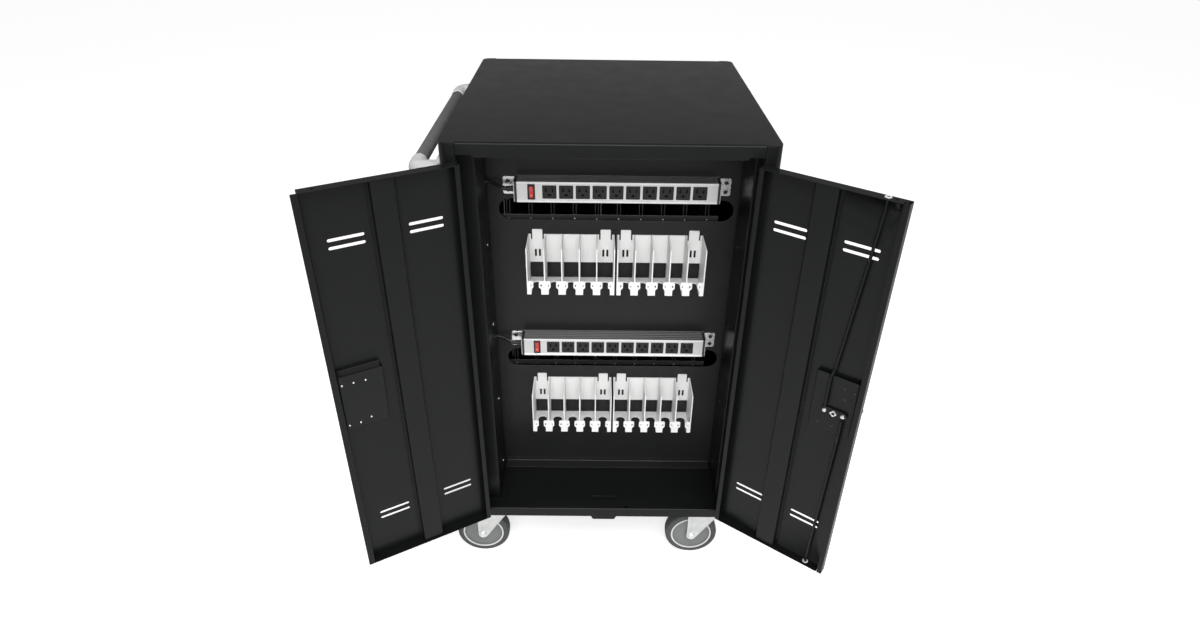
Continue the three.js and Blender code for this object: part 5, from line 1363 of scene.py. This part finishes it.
cover_low, cover_high = extents("rear_strike_cover", STRIKE_DOOR)
COVER_FOOT, BOX_FOOT = 4, 3
COVER_RIVETS = ((5, 20), (26, 20), (48, 21), (6, 120), (27, 120), (48, 114))
piece("strike_cover", sloped_cover(cover_low, cover_high, COVER_FOOT), POWDER_COAT, "rear_left_door",
      STRIKE_DOOR, ["rear_strike_cover"], 0.3)
# The flange's edge is drawn in the lighter coat as a painted highlight line
piece("strike_flange_highlight", mouth_flange(cover_low, cover_high), PAINTED_HIGHLIGHT_COAT, "rear_left_door", STRIKE_DOOR,
      edge=0.2)
rivet_places = [(cover_high[X] - x, cover_high[Z] - drop) for x, drop in COVER_RIVETS]
piece("strike_rivets", on_slope(cover_low, cover_high, COVER_FOOT, rivet_places, 1.9, 1.1), BRIGHT_ZINC,
      "rear_left_door", STRIKE_DOOR)

box_low, box_high = extents("rear_lock_box", LOCK_DOOR)
box_shell = sloped_cover(box_low, box_high, BOX_FOOT)
spindle_bore = plate(circle(-SPINDLE_X, SPINDLE_Z, SPINDLE_HOLE), (FACE_Y, box_high[Y] + 3), ELEVATION)
piece("lock_box", cut(box_shell, [spindle_bore]), POWDER_COAT, "rear_right_door", LOCK_DOOR,
      ["rear_lock_box"], 0.3)
print("strike cover stands off", round(cover_high[Y] - cover_low[Y]), "mm")

# %% Cam, pins, nut and rods
CAM_ARM, CAM_WIDTH, CAM_THICKNESS = 18, 16, 3
PIN_RADIUS, PIN_HEIGHT, NUT_HALF, NUT_BORE = 4.5, 4, 5, 3.5
ROD_RADIUS = 3
CAM_Y = cam_box[0][Y]
pin_y = CAM_Y + CAM_THICKNESS
cam_outline = stadium(-SPINDLE_X, SPINDLE_Z, 2 * CAM_ARM + CAM_WIDTH, CAM_WIDTH)
cam_plate = plate(cam_outline, (CAM_Y, pin_y), ELEVATION)
piece("cam_plate", cam_plate, POWDER_COAT, "rear_lock", LOCK_DOOR, ["rear_lock_cam"], 0.5)
bright = [moved(dome(PIN_RADIUS, PIN_HEIGHT, TO_FRONT), x, pin_y, SPINDLE_Z)
          for x in around(-SPINDLE_X, CAM_ARM)]
nut = plate(rectangle(around(0, NUT_HALF), around(0, NUT_HALF), 1), (0, PIN_HEIGHT - 0.5), ELEVATION,
            [circle(0, 0, NUT_BORE)])
nut.transform(Matrix.Rotation(math.radians(45), 4, "Y"))
bright.append(moved(nut, -SPINDLE_X, pin_y, SPINDLE_Z))
piece("cam_pins", merge(bright), BRIGHT_ZINC, "rear_lock", LOCK_DOOR, edge=0.3)
stud = dome(NUT_BORE - 0.1, PIN_HEIGHT - 1, TO_FRONT)
piece("cam_stud", moved(stud, -SPINDLE_X, pin_y, SPINDLE_Z), DARK_SCREW, "rear_lock", LOCK_DOOR)
print("lock cam at", round(SPINDLE_Z), "mm")

# %% Lock rods and box rivets
# A rod leaves its pin in front of the box, then sets back towards the door just past the box's edge
ROD_GAP, ROD_JOG, ROD_EASE, ROD_END, ROD_LEAN = 9.5, 14, 5, 26, 0.12
BOX_RIVETS = ((-30, 58), (-10, 60), (-14, 36), (-28, -30), (0, -34), (28, -36))
BUSH_RADIUS = 6


def eased_path(points, reach, steps=5):
    """A path whose corners are rounded over a reach on both sides."""
    places = [Vector(point) for point in points]
    path = [places[0]]
    for before, corner, after in zip(places, places[1:], places[2:]):
        start = corner + (before - corner).normalized() * reach
        end = corner + (after - corner).normalized() * reach
        for step in range(steps + 1):
            t = step / steps
            path.append((1 - t) ** 2 * start + 2 * t * (1 - t) * corner + t ** 2 * end)
    return path + [places[-1]]


def rod_path(pin_x, pin_z, edge_z, end_x, end_z):
    """From the pin straight past the edge of the lock box, then back and on to the flange."""
    way = 1 if end_z > pin_z else -1
    jog_x = pin_x + ROD_LEAN * (end_x - pin_x)
    return eased_path([(-pin_x, ROD_Y, pin_z), (-pin_x, ROD_Y, edge_z - 2 * way),
                       (-jog_x, ROD_BACK_Y, edge_z + ROD_JOG * way),
                       (-end_x, ROD_BACK_Y, end_z - ROD_END * way), (-end_x, ROD_BACK_Y, end_z)], ROD_EASE)


rod_paths = {
    "upper": rod_path(SPINDLE_X - CAM_ARM, SPINDLE_Z + ROD_GAP, box_high[Z], UPPER_ROD_X, DOOR_Z[1] + 0.5),
    "lower": rod_path(SPINDLE_X + CAM_ARM, SPINDLE_Z - ROD_GAP, box_low[Z], LOWER_ROD_X, DOOR_Z[0] + 0.5),
}
for level, path in rod_paths.items():
    piece(f"{level}_rod", tube(path, ROD_RADIUS), POWDER_COAT, f"{level}_lock_rod", LOCK_DOOR,
          [f"{level}_lock_rod"], 0.8)
box_rivets = [(-SPINDLE_X + x, SPINDLE_Z + z) for x, z in BOX_RIVETS]
piece("lock_rivets", on_slope(box_low, box_high, BOX_FOOT, box_rivets, 2.6, 1.2), DARK_SCREW,
      "rear_right_door", LOCK_DOOR)


def rod_bush():
    """A flanged bush: a sleeve in the flange's hole and a collar on its face."""
    bore, foot = ROD_RADIUS + GAP, -SHEET - GAP
    return turned([(bore, foot), (ROD_BORE, foot), (ROD_BORE, 0), (BUSH_RADIUS, 0), (BUSH_RADIUS, 0.8),
                   (BUSH_RADIUS - 0.6, 1.4), (bore, 1.4)], PLAN, 24, closed=True)


bushes = [moved(rod_bush(), -UPPER_ROD_X, ROD_BACK_Y, DOOR_Z[1]),
          moved(rod_bush(), -LOWER_ROD_X, ROD_BACK_Y, DOOR_Z[0] + SHEET)]
piece("rod_bushes", merge(bushes), GREY_MOULDING, "rear_right_door", LOCK_DOOR)
print("lock rods:", len(rod_paths))

# %% Lever handles
ROSE_RADIUS, ROSE_THICKNESS, LEVER_STANDOFF = 20, 5, 18
LEVER_LENGTH, LEVER_WIDTH, LEVER_THICKNESS = 52, 18, 10


def rose():
    rim, face = ROSE_RADIUS, ROSE_THICKNESS
    profile = [(0, 0), (rim, 0), (rim, 2), (rim - 0.8, 3.6), (rim - 3, face), (10.5, face), (9.5, face + 1.5),
               (8, face + 3), (8, LEVER_STANDOFF), (0, LEVER_STANDOFF)]
    return turned(profile, TO_REAR, 40)


def lever(way):
    root, tip = around(way * (LEVER_LENGTH - LEVER_WIDTH) / 2, way * LEVER_LENGTH / 2)
    blade = rounded([(root, -9, 8.9), (tip, -7, 6.9), (tip, 7, 6.9), (root, 9, 8.9)])
    reach = LEVER_STANDOFF + ROSE_THICKNESS
    return plate(blade, (-reach - LEVER_THICKNESS / 2, -reach + LEVER_THICKNESS / 2), ELEVATION)


def key_barrel():
    reach = LEVER_STANDOFF + ROSE_THICKNESS + LEVER_THICKNESS / 2
    barrel = turned([(0, reach - 3), (5.6, reach - 3), (5.6, reach + 0.4), (5.1, reach + 0.9),
                     (0, reach + 0.9)], TO_REAR)
    slot = plate(rectangle(around(0, 0.6), around(0, 3.2)), (-reach - 3, -reach + 0.3), ELEVATION)
    return cut(barrel, [slot])


for name in ("rear", "front"):
    way, place = DOORS[f"{name}_right"]
    at = place @ Matrix.Translation(Vector((way * SPINDLE_X, FACE_Y - GAP, SPINDLE_Z)) * MM)
    node = f"{name}_lock_handle"
    piece(f"{name}_lever_rose", rose(), BLACK_MOULDING, f"{name}_lock", at, [node])
    piece(f"{name}_lever", lever(way), BLACK_MOULDING, f"{name}_lock", at, edge=2.6)
    piece(f"{name}_key_barrel", key_barrel(), BRIGHT_ZINC, f"{name}_lock", at, edge=0.2)
front_place = DOORS["front_right"][1]
_, lock_high = extents("front_lock_handle", front_place)
tongue_z = (SPINDLE_Z - CAM_WIDTH / 2, lock_high[Z])
tongue_line = rectangle(around(-SPINDLE_X, CAM_WIDTH / 2), tongue_z, 7.9)
tongue = plate(tongue_line, (lock_high[Y] - CAM_THICKNESS, lock_high[Y]), ELEVATION)
spindle_length = lock_high[Y] - FACE_Y
spindle = turned([(0, 0), (4, 0), (4, spindle_length), (0, spindle_length)], TO_FRONT)
front_inner = merge([tongue, moved(spindle, -SPINDLE_X, FACE_Y, SPINDLE_Z)])
piece("front_tongue", front_inner, BRIGHT_ZINC, "front_lock", front_place, edge=0.5)
print("two lever handles")

# %% [markdown]
# ## Push handle
# A foam-covered bar runs between two pale elbows on the cart's left side. An elbow is a swept tube that grows
# thicker towards its foot, joined to a rounded foot plate. Voxel remeshing melts the two into one moulding
# with a soft fillet, which is how such an elbow is cast.

# %% Grip and elbows
ELBOW_RADII, ELBOW_STEPS, ELBOW_VOXEL = (15.0, 18.5), 16, 1.3
FOOT_HALF, FOOT_THICKNESS, FOOT_SCREW_RISE = (28, 30), 8, 24
grip_low, grip_high = extents("handle_grip")
grip_x, _, grip_z = middle_of((grip_low, grip_high))
grip_radius = (grip_high[X] - grip_low[X]) / 2


def grip_bar():
    reach = grip_high[Y] - grip_low[Y]
    skin = grip_radius
    profile = [(0, 0), (skin - 1.6, 0), (skin - 0.5, 0.6), (skin, 2), (skin, reach - 2),
               (skin - 0.5, reach - 0.6), (skin - 1.6, reach), (0, reach)]
    return moved(turned(profile, ELEVATION, 40), grip_x, grip_low[Y], grip_z)


def foot_middle(way, low, high):
    return high[Y] - FOOT_HALF[0] if way > 0 else low[Y] + FOOT_HALF[0]


def elbow(start, way, foot_low, foot_high):
    """A tube that turns from the grip into the wall, melted into its foot."""
    foot_y = foot_middle(way, foot_low, foot_high)
    wall = foot_high[X]
    corner = Vector((grip_x, foot_y, grip_z))
    first, last = Vector((grip_x, start, grip_z)), Vector((wall - 2, foot_y, grip_z))
    path, radii = [], []
    for step in range(ELBOW_STEPS + 1):
        t = step / ELBOW_STEPS
        path.append((1 - t) ** 3 * first + 3 * t * (1 - t) * corner + t ** 3 * last)
        radii.append(ELBOW_RADII[0] + (ELBOW_RADII[1] - ELBOW_RADII[0]) * t)
    outline = rectangle(around(foot_y, FOOT_HALF[0]), around(grip_z, FOOT_HALF[1]), 10)
    foot = plate(outline, (wall - FOOT_THICKNESS, wall), SIDE_VIEW)
    solid = scratch_object(merge([tube(path, radii, 32), foot]))
    remesh = solid.modifiers.new("melt", "REMESH")
    remesh.mode = "VOXEL"
    remesh.voxel_size = ELBOW_VOXEL
    ease = solid.modifiers.new("ease", "SMOOTH")
    ease.factor = 0.5
    ease.iterations = 6
    return evaluated(solid)


piece("grip_bar", grip_bar(), GRIP_FOAM, stands_for=["handle_grip"])
foot_screws = []
for name, start, way in (("rear", grip_low[Y], -1), ("front", grip_high[Y], 1)):
    low, high = extents(f"{name}_handle_bracket")
    piece(f"{name}_handle_elbow", elbow(start, way, low, high), GREY_MOULDING,
          stands_for=[f"{name}_handle_bracket"])
    foot_y = foot_middle(way, low, high)
    foot_screws += [moved(cross_screw(3.6, 2, TO_LEFT), high[X] - FOOT_THICKNESS, foot_y, z)
                    for z in around(grip_z, FOOT_SCREW_RISE)]
piece("handle_screws", merge(foot_screws), BRIGHT_ZINC)
print("grip", round(grip_high[Y] - grip_low[Y]), "mm long")

# %% [markdown]
# ## Casters
# A caster is a bolted plate, a ball race, a pressed fork and a wheel. The fork is a folded channel cut to its
# outline, so its legs and crown are one sheet with round bends. The wheel is turned in three finishes: a grey
# tyre with a rounded tread, a pale ring that paints the highlight on the rim's edge, and a hub with a
# recessed web.

# %% Caster plates and forks
FORK_SHEET, FORK_BEND, CROWN = 3, 6, 4
AXLE_MARGIN, TRAIL, NUT_REACH = 11, 38, 5
CASTERS = ("rear_left", "rear_right", "front_left", "front_right")
PLATE_THICKNESS, RACE_RADIUS = 4, 30
AXLE_RADIUS, WASHER_RADIUS, WASHER, NUT = 5, 10, 1.2, (8.2, 5)
BOLT, BOLTS_HALF = (7, 5), (35, 31)


def caster_frame(name):
    x, y, _ = JOINTS[f"{name}_caster_swivel"]["pos_m"]
    return Matrix.Translation((x, y, 0))


def fork_solid(low, high, axle_z):
    front = high[X]
    rear = -TRAIL - AXLE_MARGIN
    half = (high[Y] - low[Y]) / 2 - NUT_REACH
    foot = axle_z - 20
    channel = [(-half, foot), (-half, high[Z], FORK_BEND), (half, high[Z], FORK_BEND), (half, foot)]
    sheet = fold(channel, -FORK_SHEET, (rear - 2, front + 2), SIDE_VIEW)
    outline = rounded([(rear, high[Z] + 1), (rear, axle_z - AXLE_MARGIN, AXLE_MARGIN),
                       (-TRAIL + AXLE_MARGIN * 0.6, axle_z - AXLE_MARGIN, AXLE_MARGIN * 0.8),
                       (front, high[Z] - 2 * CROWN, 6), (front, high[Z] + 1)])
    return combine(sheet, [plate(outline, (-half - 2, half + 2), ELEVATION)], "INTERSECT")


for name in CASTERS:
    place = caster_frame(name)
    axle_z = JOINTS[f"{name}_wheel_spin"]["pos_m"][Z] / MM
    low, high = extents(f"{name}_caster_fork", place)
    piece(f"{name}_fork", fork_solid(low, high, axle_z), ZINC_PLATE, f"{name}_caster", place,
          [f"{name}_caster_fork"], 0.6)
    side = (high[Y] - low[Y]) / 2 - NUT_REACH
    axle = [(0, -side), (AXLE_RADIUS, -side), (AXLE_RADIUS, side), (0, side)]
    hardware = [turned(axle, ELEVATION)]
    for view, sign in ((TO_REAR, -1), (TO_FRONT, 1)):
        washer = turned([(0, 0), (WASHER_RADIUS, 0), (WASHER_RADIUS, WASHER), (0, WASHER)], view)
        axle_nut = hexagon(*NUT, view, WASHER)
        hardware += [moved(washer, y=sign * side), moved(axle_nut, y=sign * (side - WASHER))]
    piece(f"{name}_axle", moved(merge(hardware), -TRAIL, 0, axle_z), BRIGHT_ZINC, f"{name}_caster", place,
          edge=0.3)
    plate_low, plate_high = extents(f"{name}_caster_plate", place)
    top_z = plate_high[Z]
    bottom = top_z - PLATE_THICKNESS
    mount_line = rectangle((plate_low[X], plate_high[X]), (plate_low[Y], plate_high[Y]), 8)
    mount = plate(mount_line, (bottom, top_z), PLAN)
    race = turned([(0, bottom), (RACE_RADIUS, bottom), (RACE_RADIUS, bottom - 2),
                   (RACE_RADIUS - 2, bottom - 5), (RACE_RADIUS - 5, plate_low[Z]), (0, plate_low[Z])],
                  PLAN, 40)
    piece(f"{name}_mount", merge([mount, race]), ZINC_PLATE, "cabinet", place, [f"{name}_caster_plate"], 0.6)
    heads = [moved(hexagon(*BOLT, DOWN), x, y, bottom)
             for x in around(0, BOLTS_HALF[0]) for y in around(0, BOLTS_HALF[1])]
    piece(f"{name}_mount_bolts", merge(heads), BRIGHT_ZINC, "cabinet", place, edge=0.3)
print("casters:", len(CASTERS))

# %% Wheels
RING_INNER, RING_OUTER = 45.0, 49.0
HUB_RADIUS, WEB_INSET, BORE = 14, 5, 5.4
WHEEL_SIDES = 64


def both_sides(half):
    """A ring profile from its (radius, height) points on one side, mirrored to the other."""
    return half + [(radius, -height) for radius, height in reversed(half)]


for name in CASTERS:
    low, high = extents(f"{name}_caster_wheel", caster_frame(name))
    wheel_radius = (high[X] - low[X]) / 2
    hub_side = (high[Y] - low[Y]) / 2
    side = hub_side - 2
    middle = middle_of((low, high))
    web = side - WEB_INSET
    tyre = [(RING_OUTER, side - 0.6), (RING_OUTER + 1.5, side), (wheel_radius - 6, side),
            (wheel_radius - 3, side - 1.3), (wheel_radius - 1.2, side - 3.4), (wheel_radius - 0.25, side - 7),
            (wheel_radius, side - 12)]
    # The pale ring paints the highlight on the rim's edge
    ring = [(RING_INNER, side - 2), (RING_INNER + 0.6, side - 0.2), (RING_OUTER - 0.6, side - 0.2),
            (RING_OUTER, side - 1.2)]
    hub = [(BORE, hub_side), (HUB_RADIUS - 1, hub_side), (HUB_RADIUS, hub_side - 1),
           (HUB_RADIUS + 1.5, web + 0.8), (HUB_RADIUS + 3, web), (RING_INNER - 4, web),
           (RING_INNER - 2, web + 1), (RING_INNER - 1, side - 1.4), (RING_INNER, side - 1.4)]
    rings = (("tyre", tyre, TYRE_RUBBER), ("ring", ring, RIM_HIGHLIGHT_GREY), ("hub", hub, HUB_GREY))
    for label, half, material in rings:
        solid = moved(turned(both_sides(half), ELEVATION, WHEEL_SIDES, closed=True), *middle)
        stands_for = [f"{name}_caster_wheel"] if label == "tyre" else []
        piece(f"{name}_{label}", solid, material, f"{name}_wheel", caster_frame(name), stands_for)
print("wheels of", round(2 * wheel_radius), "mm")

# %% [markdown]
# ## Power inlet
# The supply cord plugs into an inlet in the cart's left side, at the foot of the duct: a rimmed black
# moulding with a recess shaped like the plug, three contact blades in it, and a screw above and below.

# %% Inlet with its contacts
SOCKET_HALF, SOCKET_WELL, SCREW_RISE = (12, 8.5), 15, 20
BODY_RIM, RIM_CORNER, BODY_CORNER = 5, 4, 2
_, inlet_y, inlet_z = middle_of(inlet_box)
rim_x = inlet_box[0][X]
skin_x = -HALF_WIDTH - GAP


def inlet_moulding():
    rim = plate(inlet_outline(0, RIM_CORNER), (rim_x, skin_x), SIDE_VIEW)
    body = plate(inlet_outline(BODY_RIM, BODY_CORNER), (rim_x + 1, inlet_box[1][X]), SIDE_VIEW)
    half_y, half_z = SOCKET_HALF
    well = rounded([(inlet_y - half_y, inlet_z - half_z, 1), (inlet_y + half_y, inlet_z - half_z, 1),
                    (inlet_y + half_y, inlet_z + 3, 1), (inlet_y + half_y - 5, inlet_z + half_z, 1),
                    (inlet_y - half_y + 5, inlet_z + half_z, 1), (inlet_y - half_y, inlet_z + 3, 1)])
    return cut(fuse([rim, body]), [plate(well, (rim_x - 2, rim_x + SOCKET_WELL), SIDE_VIEW)])


piece("inlet_moulding", inlet_moulding(), BLACK_MOULDING, stands_for=["power_inlet"], edge=0.5)
CONTACTS = ((-7, -1), (0, 3), (7, -1))
contact_x = (rim_x + 3, rim_x + SOCKET_WELL)
contacts = [plate(rectangle(around(inlet_y + y, 1), around(inlet_z + z, 2.6), 0.5), contact_x, SIDE_VIEW)
            for y, z in CONTACTS]
piece("inlet_contacts", merge(contacts), BRASS, edge=0.2)
inlet_screws = [moved(cross_screw(3.2, 1.8, TO_LEFT), rim_x, inlet_y, z)
                for z in around(inlet_z, SCREW_RISE)]
piece("inlet_screws", merge(inlet_screws), DARK_SCREW)
print("inlet at", round(inlet_z), "mm")
